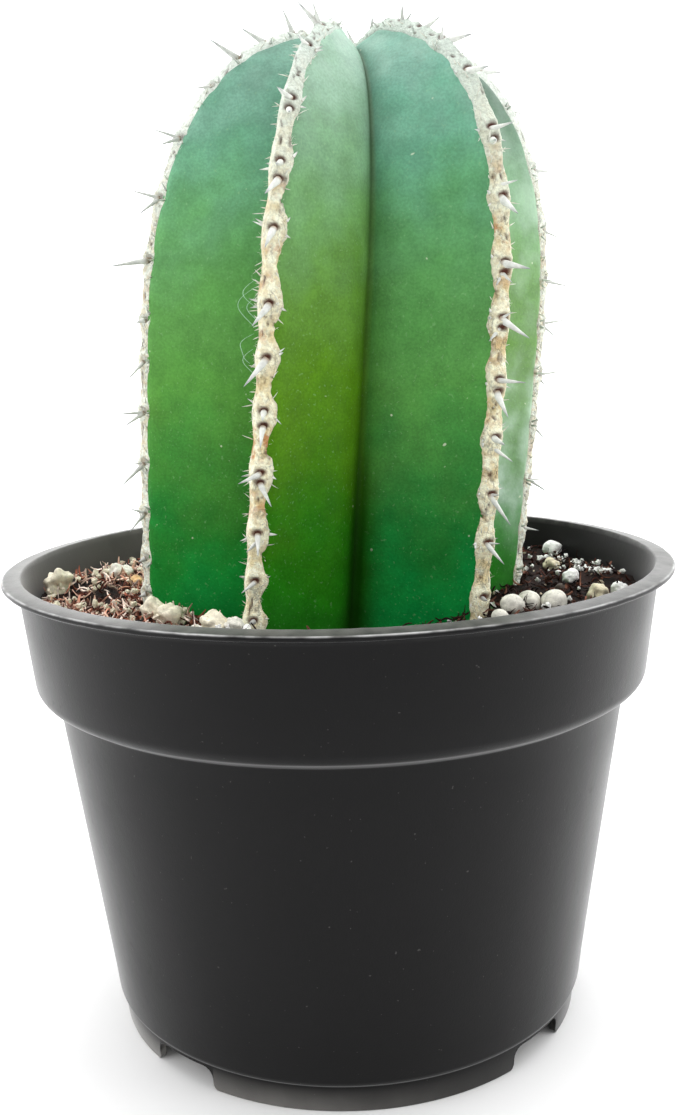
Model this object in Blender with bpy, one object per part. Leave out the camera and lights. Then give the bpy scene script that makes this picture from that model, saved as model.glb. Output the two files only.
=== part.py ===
"""Potted Mexican fence post cactus, a young six-ribbed stem in a round plastic nursery pot.

The pot stands on the plane Z = 0 with its axis on Z, and its front faces -Y. Azimuths are
measured from -Y towards +X. Every length is in metres.

Pieces, each an object of its own:
  pot              thin moulded wall with a collar, a lip, a raised drained floor and four feet
  soil             the potting mix, with its stones, perlite and bark chips, and a hole for the stem
  stem             the green body, with its ribs, its sunk crown and its buried base
  felt_and_spines  the woolly bands on the six rib crests, joined at the crown, with their spines
"""

import math
import random

import bmesh
import bpy
from mathutils import Matrix, Vector, noise

MM = 0.001

# Clearances between pieces that touch
GAP = 0.3 * MM
FELT_GAP = 0.4 * MM

# Pot
POT_HEIGHT = 109.6 * MM
LIP_RADIUS = 78.5 * MM
LIP_INNER_RADIUS = 74.2 * MM
LIP_THICKNESS = 1.5 * MM
COLLAR_TOP_RADIUS = 74.9 * MM
COLLAR_LOW_RADIUS = 72.6 * MM
COLLAR_LOW = 85.5 * MM
SHOULDER_HEIGHT = 80.4 * MM
SHOULDER_RADIUS = 67.6 * MM
BODY_LOW_RADIUS = 57.9 * MM
BODY_LOW = 7.2 * MM
FOOT_RADIUS = 56.2 * MM
FOOT_WIDTH = 1.6 * MM
WALL = 1.3 * MM
FLOOR_UNDER = 6.2 * MM
FLOOR_THICKNESS = 1.6 * MM
FLOOR_CORNER = 1.0 * MM
FOOT_DRAFT = 0.5 * MM
BODY_EDGE = 0.4 * MM
SHOULDER_ROUND = 0.75
LIP_NOSE = 0.6 * MM
LIP_EDGE_DROP = 0.4 * MM
LIP_UNDERCUT = 1.6 * MM
POT_SEGMENTS = 56

# Gaps between the feet, and the drain holes
FOOT_GAP_WIDTH = 17.5 * MM
FOOT_GAP_HEIGHT = 5.3 * MM
FOOT_GAP_ROUND = 2.4 * MM
FOOT_GAP_FLARE = 1.6 * MM
FOOT_GAP_COUNT = 4
FOOT_GAP_FIRST = math.radians(48.5)
FOOT_CUT_OUTSIDE = 6.0 * MM
FOOT_CUT_DEPTH = 14.0 * MM
DRAIN_RADIUS = 4.5 * MM
DRAIN_CIRCLE = 45.0 * MM

# Stem
SOIL_LEVEL = 100.0 * MM
STEM_BASE = 64.0 * MM
BASE_ROUND = 11.0 * MM
BASE_NARROWING = 0.28
BASE_VALLEY_FILLING = 0.25
WIDEST_HEIGHT = 162.0 * MM
CREST_TOP = 227.3 * MM
CROWN_FLOOR = 223.0 * MM
CROWN_FLOOR_RADIUS = 3.6 * MM
CROWN_EDGE_RADIUS = 11.5 * MM
WIDEST_RADIUS = 45.4 * MM
SOIL_RADIUS = 43.9 * MM
DOME_POWER = 2.36
DOME_POWER_ACROSS = 2.6
VALLEY_POWER = 2.2
VALLEY_SHARE = 0.55
FLANK_BULGE = 1.4 * MM
FLANK_BULGE_PLACE = 1.5
CREST_HALF_WIDTH = 2.5 * MM
CREST_DROP = 1.25 * MM
RIB_AZIMUTHS = tuple(math.radians(a) for a in (-76.0, -19.5, 43.5, 97.0, 158.0, 221.0))
RIB_REACHES = (1.0, 0.995, 1.0, 1.026, 1.0, 0.99)
RIB_SPREAD_LOW = tuple(math.radians(a) for a in (0.0, -2.5, 2.0, 0.0, 1.5, -1.0))
VALLEY_SWINGS = tuple(math.radians(a) for a in (1.0, -2.0, 0.0, 0.0, 0.0, 0.0))
STEM_CENTRE = 2.9 * MM
STEM_LEAN = 0.071
CROWN_SHIFT = -2.5 * MM
BASE_ROWS = 4
SHAFT_ROWS = 7
DOME_ROWS = 12
DOME_LAST_ROW = 0.35
CREST_LINE_STEPS = 160
CREST_LINE_TOP = 0.995
HOLE_OVERRUN = 14.0 * MM

# Places of the areoles on the four ribs that show, in mm down the crest from the crown
AREOLE_PLACES = {
    0: (5.5, 11, 17.5, 24.5, 33, 46, 59.5, 73, 86, 95, 106.5, 118, 129.5, 140, 148.5),
    1: (5, 11.5, 19, 29, 43.5, 57, 70, 84.5, 95, 105.5, 118, 130.5, 140.5, 149),
    2: (6, 11, 16, 21.5, 28, 37.5, 51, 65, 78, 89, 101.5, 113.5, 125.5, 136, 148),
    3: (6, 11, 17, 23.5, 31, 41.5, 56, 69.5, 81, 91, 103, 115, 128, 140, 151),
}

# The other ribs' areoles: their pitch, how it shrinks near the crown, and where each rib starts
AREOLE_PITCH = 12.0 * MM
AREOLE_CROWDING = 0.6
AREOLE_CROWDING_REACH = 2.0
AREOLE_FIRST = 5.0 * MM
AREOLE_SHIFTS = {4: 0.6 * MM, 5: 2.2 * MM}

# Felt bands and the crown's wool
AREOLE_YOUNGEST_SHARE = 0.72
AREOLE_GROWTH = 0.1
FELT_HALF_WIDTH = 2.8 * MM
FELT_NECK_HALF_WIDTH = 1.8 * MM
FELT_HEIGHT = 1.75 * MM
FELT_NECK_HEIGHT = 1.0 * MM
FELT_SHOULDER = 0.72
FELT_END = SOIL_LEVEL - 4.5 * MM
SLOT_OVERRUN = 6.0 * MM
LOWEST_AREOLE = SOIL_LEVEL + 2.6 * MM
CROWN_WOOL_RADIUS = 3.2 * MM
CROWN_WOOL_HEIGHT = 1.6 * MM
CROWN_WOOL_TOP_SHARE = 0.7

# Spines
CENTRAL_LENGTH = 5.6 * MM
CENTRAL_RADIUS = 0.58 * MM
CENTRAL_DROOP = (-0.05, 0.4)
CENTRAL_SWAY = 0.4
RADIAL_LENGTH = 2.3 * MM
RADIAL_RADIUS = 0.3 * MM
RADIAL_PLACES = (-0.9, 0.7)
RADIAL_RISE = 0.55
SPINE_SINK = 0.9 * MM
SPINE_SIDES = 3

# Soil and what lies in it
SOIL_RELIEF = 0.9 * MM
SOIL_LUMP_SIZE = 11.0 * MM
SOIL_CRUMB_SIZE = 4.5 * MM
SOIL_DIP = 4.6 * MM
SOIL_DIP_START = 45.0 * MM
SOIL_DIP_END = 27.0 * MM
SOIL_CALM_START = SOIL_RADIUS - 2.0 * MM
SOIL_CALM_END = SOIL_RADIUS + 6.0 * MM
SOIL_CALM_RELIEF = 0.3
STEM_ROOM = 1.0 * MM
SOIL_RING_SHARES = (0.3, 0.42, 0.54, 0.64, 0.72, 0.8, 0.87, 0.94, 1.0)
STONE_SINK = 0.35
FINE_STONE_RADIUS = 2.1 * MM
PERLITE_COUNT = 26
PERLITE_RADIUS = 1.15 * MM
PERLITE_ROOM = 1.8 * MM
CHIP_COUNT = 30
CHIP_SIZE = (5.0 * MM, 1.5 * MM, 0.9 * MM)
CHIP_TAPER = (1.0, 0.55, 0.7)
CHIP_TILT = 0.3
CHIP_SINK = 0.15 * MM
CHIP_ROOM = 2.6 * MM
BACK_PEBBLE_COUNT = 7
BACK_PEBBLE_RADIUS = 2.2 * MM
BACK_PEBBLE_ROOM = 3.2 * MM
BACK_AZIMUTHS = (math.radians(135), math.radians(250))

# Stones set by hand: azimuth in degrees, distance from the axis, half width, height share, lumpiness
STONES = (
    (-99, 68.0, 3.6, 0.75, 0.22),
    (-112, 61.5, 3.0, 0.60, 0.18),
    (-104, 53.5, 2.0, 0.80, 0.20),
    (-55, 51.0, 3.2, 0.80, 0.24),
    (-47, 51.5, 3.0, 0.90, 0.24),
    (-38, 52.5, 1.7, 0.60, 0.10),
    (-30, 51.5, 2.4, 0.80, 0.15),
    (-23, 51.8, 2.2, 0.80, 0.15),
    (43, 52.0, 2.1, 0.75, 0.05),
    (49, 54.5, 2.0, 0.75, 0.05),
    (61, 50.5, 2.6, 0.80, 0.04),
    (65, 57.5, 3.1, 0.75, 0.04),
    (77, 63.5, 2.4, 0.80, 0.20),
    (84, 67.5, 1.9, 0.80, 0.15),
    (94, 56.5, 2.3, 0.80, 0.18),
    (112, 61.0, 1.8, 0.80, 0.18),
    (124, 67.5, 2.6, 0.75, 0.08),
)

# Finishes: colour, roughness
POT_FINISH = ((0.020, 0.020, 0.021), 0.48)
SOIL_FINISH = ((0.075, 0.040, 0.026), 0.95)
STEM_FINISH = ((0.060, 0.300, 0.090), 0.45)
FELT_FINISH = ((0.780, 0.720, 0.560), 0.90)


def clear_scene():
    """Remove every object that the start file holds."""
    for old in list(bpy.data.objects):
        bpy.data.objects.remove(old, do_unlink=True)


def dress(target, name, look):
    """Give the object one Principled material of one colour."""
    colour, roughness = look
    material = bpy.data.materials.new(name)
    material.use_nodes = True
    shader = material.node_tree.nodes["Principled BSDF"]
    shader.inputs["Base Color"].default_value = (*colour, 1.0)
    shader.inputs["Roughness"].default_value = roughness
    shader.inputs["Metallic"].default_value = 0.0
    target.data.materials.clear()
    target.data.materials.append(material)


def object_from(bm, name, smooth_angle=None):
    """Put a bmesh in a new object of the scene, with its faces pointing out."""
    bmesh.ops.recalc_face_normals(bm, faces=bm.faces)
    mesh = bpy.data.meshes.new(name)
    bm.to_mesh(mesh)
    bm.free()
    if smooth_angle is not None:
        mesh.shade_smooth()
        mesh.set_sharp_from_angle(angle=smooth_angle)
    made = bpy.data.objects.new(name, mesh)
    bpy.context.scene.collection.objects.link(made)
    return made


def apply_modifiers(target):
    """Replace the object's mesh with its evaluated one."""
    graph = bpy.context.evaluated_depsgraph_get()
    mesh = bpy.data.meshes.new_from_object(target.evaluated_get(graph))
    target.modifiers.clear()
    target.data = mesh


def boolean(target, operation, operand, solver="EXACT"):
    """Cut an object from the target, or join a collection's objects to it, and apply it."""
    modifier = target.modifiers.new(operation.title(), "BOOLEAN")
    modifier.operation = operation
    modifier.solver = solver
    if isinstance(operand, bpy.types.Collection):
        modifier.operand_type = "COLLECTION"
        modifier.collection = operand
    else:
        modifier.object = operand
        operand.hide_render = True
        operand.display_type = "WIRE"
    apply_modifiers(target)


def join_repeats(target, repeats):
    """Join a list of small solids to the target by one union, and remove them."""
    gathered = bpy.data.collections.new(target.name + "_repeats")
    for piece in repeats:
        for user in list(piece.users_collection):
            user.objects.unlink(piece)
        gathered.objects.link(piece)
    bpy.context.scene.collection.children.link(gathered)
    boolean(target, "UNION", gathered, solver="MANIFOLD")
    for piece in repeats:
        bpy.data.objects.remove(piece, do_unlink=True)
    bpy.data.collections.remove(gathered)


def smooth_step(low, high, value):
    """0 below low, 1 above high, smooth between."""
    share = min(max((value - low) / (high - low), 0.0), 1.0)
    return share * share * (3.0 - 2.0 * share)


def around(azimuth, radius, height=0.0):
    """A point by its azimuth from -Y towards +X, its distance from the axis and its height."""
    return Vector((radius * math.sin(azimuth), -radius * math.cos(azimuth), height))


def arc(centre, radius, start, stop, steps):
    """Points (r, z) along an arc, angles in degrees from +r towards +z."""
    points = []
    for step in range(steps + 1):
        angle = math.radians(start + (stop - start) * step / steps)
        points.append((centre[0] + radius * math.cos(angle), centre[1] + radius * math.sin(angle)))
    return points


# The pot


def wall_inside():
    """The inside of the pot's wall as (r, z), from the floor up to the lip."""
    floor = FLOOR_UNDER + FLOOR_THICKNESS
    low_slope = (SHOULDER_RADIUS - BODY_LOW_RADIUS) / (SHOULDER_HEIGHT - BODY_LOW)
    low = BODY_LOW_RADIUS + low_slope * (floor - BODY_LOW) - WALL
    return [
        (low - FLOOR_CORNER, floor),
        (low, floor + FLOOR_CORNER),
        (SHOULDER_RADIUS - WALL, SHOULDER_HEIGHT + 0.3 * WALL),
        (COLLAR_LOW_RADIUS - 1.9 * WALL, COLLAR_LOW - 1.5 * WALL),
        (COLLAR_LOW_RADIUS - WALL, COLLAR_LOW + 0.6 * WALL),
        (LIP_INNER_RADIUS - BODY_EDGE, POT_HEIGHT - LIP_THICKNESS),
        (LIP_INNER_RADIUS, POT_HEIGHT),
    ]


def pot_profile():
    """The pot's section as (r, z): under the floor, up the foot, the outside, the lip, the inside."""
    under = [
        (0.0, FLOOR_UNDER),
        (FOOT_RADIUS - FOOT_WIDTH + FOOT_DRAFT, FLOOR_UNDER),
        (FOOT_RADIUS - FOOT_WIDTH, 0.0),
        (FOOT_RADIUS, 0.0),
        (FOOT_RADIUS + FOOT_DRAFT, BODY_LOW - 2.5 * BODY_EDGE),
        (BODY_LOW_RADIUS - BODY_EDGE, BODY_LOW - BODY_EDGE),
        (BODY_LOW_RADIUS, BODY_LOW + BODY_EDGE),
        (SHOULDER_RADIUS, SHOULDER_HEIGHT),
    ]
    rounding = (COLLAR_LOW - SHOULDER_HEIGHT) * SHOULDER_ROUND
    bend = arc((COLLAR_LOW_RADIUS - rounding, COLLAR_LOW), rounding, -72, -6, 2)
    lip = [
        (COLLAR_TOP_RADIUS, POT_HEIGHT - LIP_THICKNESS - LIP_UNDERCUT),
        (COLLAR_TOP_RADIUS + LIP_UNDERCUT / 2, POT_HEIGHT - LIP_THICKNESS - LIP_UNDERCUT / 5),
    ]
    edge = (LIP_RADIUS - LIP_NOSE, POT_HEIGHT - LIP_EDGE_DROP - LIP_NOSE)
    lip += arc(edge, LIP_NOSE, -80, 80, 2)
    inside = list(reversed(wall_inside()))
    return under + bend + lip + inside + [(0.0, FLOOR_UNDER + FLOOR_THICKNESS)]


def turn_profile(points, segments):
    """Spin an open section of (r, z) points, whose ends lie on the axis, into a closed solid."""
    bm = bmesh.new()
    ring = [bm.verts.new((r, 0.0, z)) for r, z in points]
    edges = [bm.edges.new(pair) for pair in zip(ring, ring[1:])]
    bmesh.ops.spin(
        bm, geom=ring + edges, cent=(0, 0, 0), axis=(0, 0, 1), angle=math.tau, steps=segments,
        use_merge=True, use_duplicate=False,
    )
    bmesh.ops.remove_doubles(bm, verts=bm.verts, dist=0.001 * MM)
    return bm


def foot_gap_outline():
    """The gap seen from outside as (x, z): rounded at its top, flared where the foot's ends are rounded."""
    half = FOOT_GAP_WIDTH / 2
    flare = arc((half + FOOT_GAP_FLARE, FOOT_GAP_FLARE), FOOT_GAP_FLARE, 270, 180, 2)
    top = arc((half - FOOT_GAP_ROUND, FOOT_GAP_HEIGHT - FOOT_GAP_ROUND), FOOT_GAP_ROUND, 0, 90, 3)
    side = [(half + FOOT_GAP_FLARE, -MM)] + flare + top
    return side + [(-x, z) for x, z in reversed(side)]


def foot_gap_cutter(azimuth):
    """A block with the gap's outline that cuts one gap through the foot."""
    bm = bmesh.new()
    front = -FOOT_RADIUS - FOOT_CUT_OUTSIDE
    face = bm.faces.new([bm.verts.new((x, front, z)) for x, z in foot_gap_outline()])
    run = bmesh.ops.extrude_face_region(bm, geom=[face])
    ends = [v for v in run["geom"] if isinstance(v, bmesh.types.BMVert)]
    bmesh.ops.translate(bm, verts=ends, vec=(0, FOOT_CUT_DEPTH, 0))
    bmesh.ops.rotate(bm, verts=bm.verts, cent=(0, 0, 0), matrix=Matrix.Rotation(azimuth, 3, "Z"))
    return object_from(bm, "foot_gap_cutter")


def drain_cutter(centre):
    """A plain cylinder that cuts one drain hole through the floor."""
    bm = bmesh.new()
    bmesh.ops.create_cone(bm, cap_ends=True, segments=16, radius1=DRAIN_RADIUS, radius2=DRAIN_RADIUS,
                          depth=4.0 * FLOOR_THICKNESS)
    bmesh.ops.translate(bm, verts=bm.verts, vec=(centre.x, centre.y, FLOOR_UNDER))
    return object_from(bm, "drain_cutter")


def build_pot():
    """The moulded pot: a turned wall with four gaps in its foot and five drain holes."""
    pot = object_from(turn_profile(pot_profile(), POT_SEGMENTS), "pot", math.radians(30))
    cutters = [drain_cutter(Vector((0, 0, 0)))]
    for index in range(FOOT_GAP_COUNT):
        azimuth = FOOT_GAP_FIRST + math.tau * index / FOOT_GAP_COUNT
        cutters.append(foot_gap_cutter(azimuth))
        cutters.append(drain_cutter(around(azimuth, DRAIN_CIRCLE)))
    for cutter in cutters:
        boolean(pot, "DIFFERENCE", cutter)
        bpy.data.objects.remove(cutter, do_unlink=True)
    dress(pot, "moulded_plastic", POT_FINISH)


# The stem


def crest_radius_low(height):
    """The crest's distance from the stem's axis below its widest height."""
    share = (height - SOIL_LEVEL) / (WIDEST_HEIGHT - SOIL_LEVEL)
    return SOIL_RADIUS + (WIDEST_RADIUS - SOIL_RADIUS) * math.sin(share * math.pi / 2)


def stem_rows():
    """Rows of (crest radius, crest height, valley radius, valley height), from the base to the crown."""
    rows = []
    shaft_start = STEM_BASE + BASE_ROUND
    start_radius = crest_radius_low(shaft_start)
    for step in range(1, BASE_ROWS + 1):
        turn = math.pi / 2 * step / BASE_ROWS
        radius = start_radius * (1.0 - BASE_NARROWING * (1.0 - math.sin(turn)))
        height = shaft_start - BASE_ROUND * math.cos(turn)
        share = VALLEY_SHARE + BASE_VALLEY_FILLING * math.cos(turn)
        rows.append((radius, height, radius * share, height))
    for step in range(1, SHAFT_ROWS + 1):
        height = shaft_start + (WIDEST_HEIGHT - shaft_start) * step / SHAFT_ROWS
        radius = crest_radius_low(height)
        rows.append((radius, height, radius * VALLEY_SHARE, height))
    for step in range(1, DOME_ROWS + 1):
        rows.append(dome_row(step / (DOME_ROWS + DOME_LAST_ROW)))
    return rows


def dome_row(share):
    """One row of the dome, by its share of the way from the widest height to the crown."""
    turn = math.pi / 2 * share
    radius = WIDEST_RADIUS * math.cos(turn) ** (2 / DOME_POWER_ACROSS)
    rise = math.sin(turn)
    height = WIDEST_HEIGHT + (CREST_TOP - WIDEST_HEIGHT) * rise ** (2 / DOME_POWER)
    dip = 1.0 - smooth_step(CROWN_FLOOR_RADIUS, CROWN_EDGE_RADIUS, radius)
    height -= (CREST_TOP - CROWN_FLOOR) * dip
    low = WIDEST_HEIGHT + (CROWN_FLOOR - WIDEST_HEIGHT) * rise ** (2 / VALLEY_POWER)
    return radius, height, radius * VALLEY_SHARE, min(low, height)


def stem_axis(radius, height):
    """Where the stem's axis passes, for a row of this crest radius and height."""
    inward = (1.0 - radius / WIDEST_RADIUS) if height > WIDEST_HEIGHT else 0.0
    across = STEM_CENTRE + STEM_LEAN * (height - WIDEST_HEIGHT) + CROWN_SHIFT * max(inward, 0.0) ** 1.5
    return Vector((across, 0.0, 0.0))


def rib_azimuth(rib, height):
    """A rib's azimuth, which drifts a little towards the soil."""
    low = min(max((WIDEST_HEIGHT - height) / (WIDEST_HEIGHT - SOIL_LEVEL), 0.0), 1.0)
    return RIB_AZIMUTHS[rib] + RIB_SPREAD_LOW[rib] * low


def valley_azimuth(rib, height):
    """The azimuth of the valley after a rib."""
    rib %= len(RIB_AZIMUTHS)
    after = (rib + 1) % len(RIB_AZIMUTHS)
    here = rib_azimuth(rib, height)
    there = rib_azimuth(after, height)
    if there < here:
        there += math.tau
    return (here + there) / 2 + VALLEY_SWINGS[rib]


def flank(crest, valley, side, bulge, shares):
    """Points from the crest's edge to the valley, pushed out of the straight line by the bulge."""
    run = valley - crest
    outward = Vector((run.y, -run.x)).normalized() * side
    return [crest + run * s + outward * bulge * math.sin(math.pi * s ** FLANK_BULGE_PLACE) for s in shares]


def crest_slope(radius):
    """How steeply the blunt crest falls to its edges, nothing on the crown's flat floor."""
    return CREST_DROP / CREST_HALF_WIDTH * smooth_step(CROWN_FLOOR_RADIUS, CROWN_EDGE_RADIUS, radius)


def crest_normal(rows, index):
    """The crest's outward normal in a row as (out, up), from the rows beside it."""
    before, after = rows[max(index - 1, 0)], rows[min(index + 1, len(rows) - 1)]
    run = Vector((after[0] - before[0], after[1] - before[1])).normalized()
    return Vector((run.y, -run.x))


def stem_section(rows, index, shares=(0.3, 0.6, 0.85)):
    """One row's outline, a closed list of points that starts at the first rib's valley."""
    crest_r, crest_z, valley_r, valley_z = rows[index]
    centre = stem_axis(crest_r, crest_z)
    normal = crest_normal(rows, index)
    edge_side = CREST_HALF_WIDTH * min(1.0, crest_r / CROWN_EDGE_RADIUS)
    edge_drop = edge_side * crest_slope(crest_r)
    edge_z = crest_z - edge_drop * normal.y
    bulge = FLANK_BULGE * crest_r / WIDEST_RADIUS
    points = []
    for rib in range(len(RIB_AZIMUTHS)):
        azimuth = rib_azimuth(rib, crest_z)
        tip = crest_r * RIB_REACHES[rib]
        halves = []
        for side, turn in ((-1, valley_azimuth(rib - 1, crest_z)), (1, valley_azimuth(rib, crest_z))):
            angle = (turn - azimuth + math.pi) % math.tau - math.pi
            valley = Vector((valley_r * math.cos(angle), valley_r * math.sin(angle)))
            edge = Vector((tip - edge_drop * normal.x, side * edge_side))
            way = [(edge, 0.0)]
            way += [(p, s) for p, s in zip(flank(edge, valley, side, bulge, shares), shares)]
            if side > 0:
                way.append((valley, 1.0))
            halves.append(way)
        line = list(reversed(halves[0])) + [(Vector((tip, 0.0)), None)] + halves[1]
        for flat, share in line:
            height = crest_z if share is None else edge_z + (valley_z - edge_z) * share
            reach = around(azimuth, flat.x) + around(azimuth + math.pi / 2, flat.y)
            points.append(centre + reach + Vector((0, 0, height)))
    return points


def grown(points, distance):
    """The same outline moved outwards by a distance, seen from above."""
    moved = []
    count = len(points)
    for index, point in enumerate(points):
        before = (point - points[index - 1]).to_2d().normalized()
        after = (points[(index + 1) % count] - point).to_2d().normalized()
        normal_before = Vector((before.y, -before.x))
        normal_after = Vector((after.y, -after.x))
        shift = (normal_before + normal_after) * distance / (1.0 + normal_before.dot(normal_after))
        moved.append(point + shift.to_3d())
    return moved


def skin(sections, low_pole, high_pole):
    """Join rows of points into a closed solid with a fan at each end."""
    bm = bmesh.new()
    rings = [[bm.verts.new(p) for p in section] for section in sections]
    count = len(rings[0])
    for below, above in zip(rings, rings[1:]):
        for index in range(count):
            after = (index + 1) % count
            bm.faces.new((below[index], below[after], above[after], above[index]))
    for ring, pole in ((rings[0], low_pole), (rings[-1], high_pole)):
        tip = bm.verts.new(pole)
        for index in range(count):
            bm.faces.new((ring[index], ring[(index + 1) % count], tip))
    return bm


def build_stem():
    """The green body from its buried base to its sunk crown."""
    rows = stem_rows()
    sections = [stem_section(rows, index) for index in range(len(rows))]
    low = stem_axis(rows[0][0], rows[0][1]) + Vector((0, 0, STEM_BASE))
    high = stem_axis(0.0, CREST_TOP) + Vector((0, 0, CROWN_FLOOR))
    stem = object_from(skin(sections, low, high), "stem", math.radians(50))
    dress(stem, "waxy_green_skin", STEM_FINISH)


def stem_hole_cutter():
    """The stem's buried part, grown by the gap, and carried up past the soil."""
    rows = [row for row in stem_rows() if row[1] < SOIL_LEVEL + HOLE_OVERRUN]
    sections = []
    for index, row in enumerate(rows):
        points = grown(stem_section(rows, index), GAP)
        if row[1] < STEM_BASE + BASE_ROUND:
            points = [p - Vector((0, 0, GAP)) for p in points]
        sections.append(points)
    low = stem_axis(rows[0][0], rows[0][1]) + Vector((0, 0, STEM_BASE - GAP))
    high = stem_axis(rows[-1][0], rows[-1][1]) + Vector((0, 0, rows[-1][1] + MM))
    return object_from(skin(sections, low, high), "stem_hole_cutter")


def felt_slot_cutter(rib):
    """The buried end of a rib's felt band, grown by the gap, and carried up past the soil."""
    total = crest_line(rib)[1][-1]
    reach = SOIL_LEVEL - FELT_END + SLOT_OVERRUN
    rows = [(total - reach * share, FELT_HALF_WIDTH, FELT_HEIGHT) for share in (1.0, 0.5)]
    rows.append((total + GAP, FELT_HALF_WIDTH, FELT_HEIGHT))
    return build_band(rib, rows, GAP)


# The felt bands and the spines


def crest_point(rib, row):
    """The crest's ridge point of a rib in a row."""
    crest_r, crest_z = row[0], row[1]
    reach = around(rib_azimuth(rib, crest_z), crest_r * RIB_REACHES[rib], crest_z)
    return stem_axis(crest_r, crest_z) + reach


def crest_line(rib):
    """The ridge of a rib as points, from the crown down to where the felt ends, with running length."""
    points = []
    for step in range(CREST_LINE_STEPS):
        row = dome_row(CREST_LINE_TOP - step / CREST_LINE_STEPS)
        if row[0] > CROWN_WOOL_RADIUS * 0.5:
            points.append(crest_point(rib, row))
    drop = WIDEST_HEIGHT - FELT_END
    for step in range(CREST_LINE_STEPS + 1):
        height = WIDEST_HEIGHT - drop * step / CREST_LINE_STEPS
        points.append(crest_point(rib, (crest_radius_low(height), height)))
    lengths = [0.0]
    for before, after in zip(points, points[1:]):
        lengths.append(lengths[-1] + (after - before).length)
    return points, lengths


def place_on(rib, line, length):
    """Point, tangent down the rib, outward normal and sideways direction at a running length."""
    points, lengths = line
    last = len(points) - 2
    index = 0
    while index < last and lengths[index + 1] < length:
        index += 1
    span = lengths[index + 1] - lengths[index]
    point = points[index].lerp(points[index + 1], (length - lengths[index]) / span)
    tangent = (points[min(index + 3, last + 1)] - points[max(index - 2, 0)]).normalized()
    sideways = around(rib_azimuth(rib, point.z) + math.pi / 2, 1.0)
    normal = tangent.cross(sideways).normalized()
    return point, tangent, normal, sideways


def areole_lengths(rib, total):
    """Running lengths of a rib's areoles, closer together near the crown."""
    if rib in AREOLE_PLACES:
        return [place * MM for place in AREOLE_PLACES[rib]]
    places = []
    length = AREOLE_FIRST + AREOLE_SHIFTS[rib]
    index = 0
    while length < total - (LOWEST_AREOLE - FELT_END):
        places.append(length)
        crowding = AREOLE_CROWDING * math.exp(-index / AREOLE_CROWDING_REACH)
        length += AREOLE_PITCH * (1.0 - crowding)
        index += 1
    return places


def areole_share(index):
    """The size of an areole by its place from the crown, the youngest being smaller."""
    return min(1.0, AREOLE_YOUNGEST_SHARE + AREOLE_GROWTH * index)


def felt_rows(rib, line):
    """Running length, half width and height of the felt at its bulges and necks."""
    total = line[1][-1]
    neck = (FELT_NECK_HALF_WIDTH, FELT_NECK_HEIGHT)
    rows = [(0.0, FELT_NECK_HALF_WIDTH * 0.75, FELT_NECK_HEIGHT)]
    before = 0.0
    for index, place in enumerate(areole_lengths(rib, total)):
        share = areole_share(index)
        rows.append(((before + place) / 2, *neck))
        rows.append((place, FELT_HALF_WIDTH * share, FELT_HEIGHT * share))
        before = place
    rows.append((total, FELT_NECK_HALF_WIDTH, FELT_NECK_HEIGHT * 0.6))
    return rows


def build_band(rib, rows, grow=0.0):
    """One felt band: a low strip that follows the crest at a small clearance."""
    line = crest_line(rib)
    sections = []
    for length, half, height in rows:
        point, _, normal, sideways = place_on(rib, line, length)
        radius = (point - stem_axis(0.0, CREST_TOP)).to_2d().length
        slope = crest_slope(radius)
        half += grow
        height += grow
        outline = (
            (-half, FELT_GAP - grow - half * slope),
            (0.0, FELT_GAP - grow),
            (half, FELT_GAP - grow - half * slope),
            (half * FELT_SHOULDER, height * FELT_SHOULDER),
            (0.0, height),
            (-half * FELT_SHOULDER, height * FELT_SHOULDER),
        )
        sections.append([point + sideways * across + normal * out for across, out in outline])
    low = sum(sections[0], Vector()) / len(sections[0])
    high = sum(sections[-1], Vector()) / len(sections[-1])
    return object_from(skin(sections, low, high), f"felt_band_{rib}")


def cone(root, direction, length, radius, roll=0.0):
    """A slim pointed spine with few sides, its root sunk in the felt."""
    bm = bmesh.new()
    bmesh.ops.create_cone(bm, cap_ends=True, segments=SPINE_SIDES, radius1=radius, radius2=0.0,
                          depth=length + SPINE_SINK)
    bmesh.ops.translate(bm, verts=bm.verts, vec=(0, 0, (length - SPINE_SINK) / 2))
    turn = direction.to_track_quat("Z", "Y").to_matrix().to_4x4() @ Matrix.Rotation(roll, 4, "Z")
    bmesh.ops.transform(bm, matrix=Matrix.Translation(root) @ turn, verts=bm.verts)
    return object_from(bm, "spine")


def build_spines(rib, draw):
    """The spines of one rib: a stout central one and two short radial ones at each areole."""
    line = crest_line(rib)
    spines = []
    for index, length in enumerate(areole_lengths(rib, line[1][-1])):
        point, tangent, normal, sideways = place_on(rib, line, length)
        share = areole_share(index)
        root = point + normal * FELT_HEIGHT * share * 0.9
        aim = normal + tangent * draw.uniform(*CENTRAL_DROOP)
        aim += sideways * draw.uniform(-CENTRAL_SWAY, CENTRAL_SWAY)
        spines.append(cone(root, aim, CENTRAL_LENGTH * draw.uniform(0.8, 1.15), CENTRAL_RADIUS))
        for side in (-1, 1):
            along = draw.uniform(*RADIAL_PLACES)
            start = point + normal * FELT_HEIGHT * share * FELT_SHOULDER
            start += sideways * side * FELT_HALF_WIDTH * share * 0.5 + tangent * along * MM
            aim = normal * RADIAL_RISE + sideways * side + tangent * along * 0.6
            spines.append(cone(start, aim, RADIAL_LENGTH * draw.uniform(0.75, 1.1), RADIAL_RADIUS))
    return spines


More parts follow.
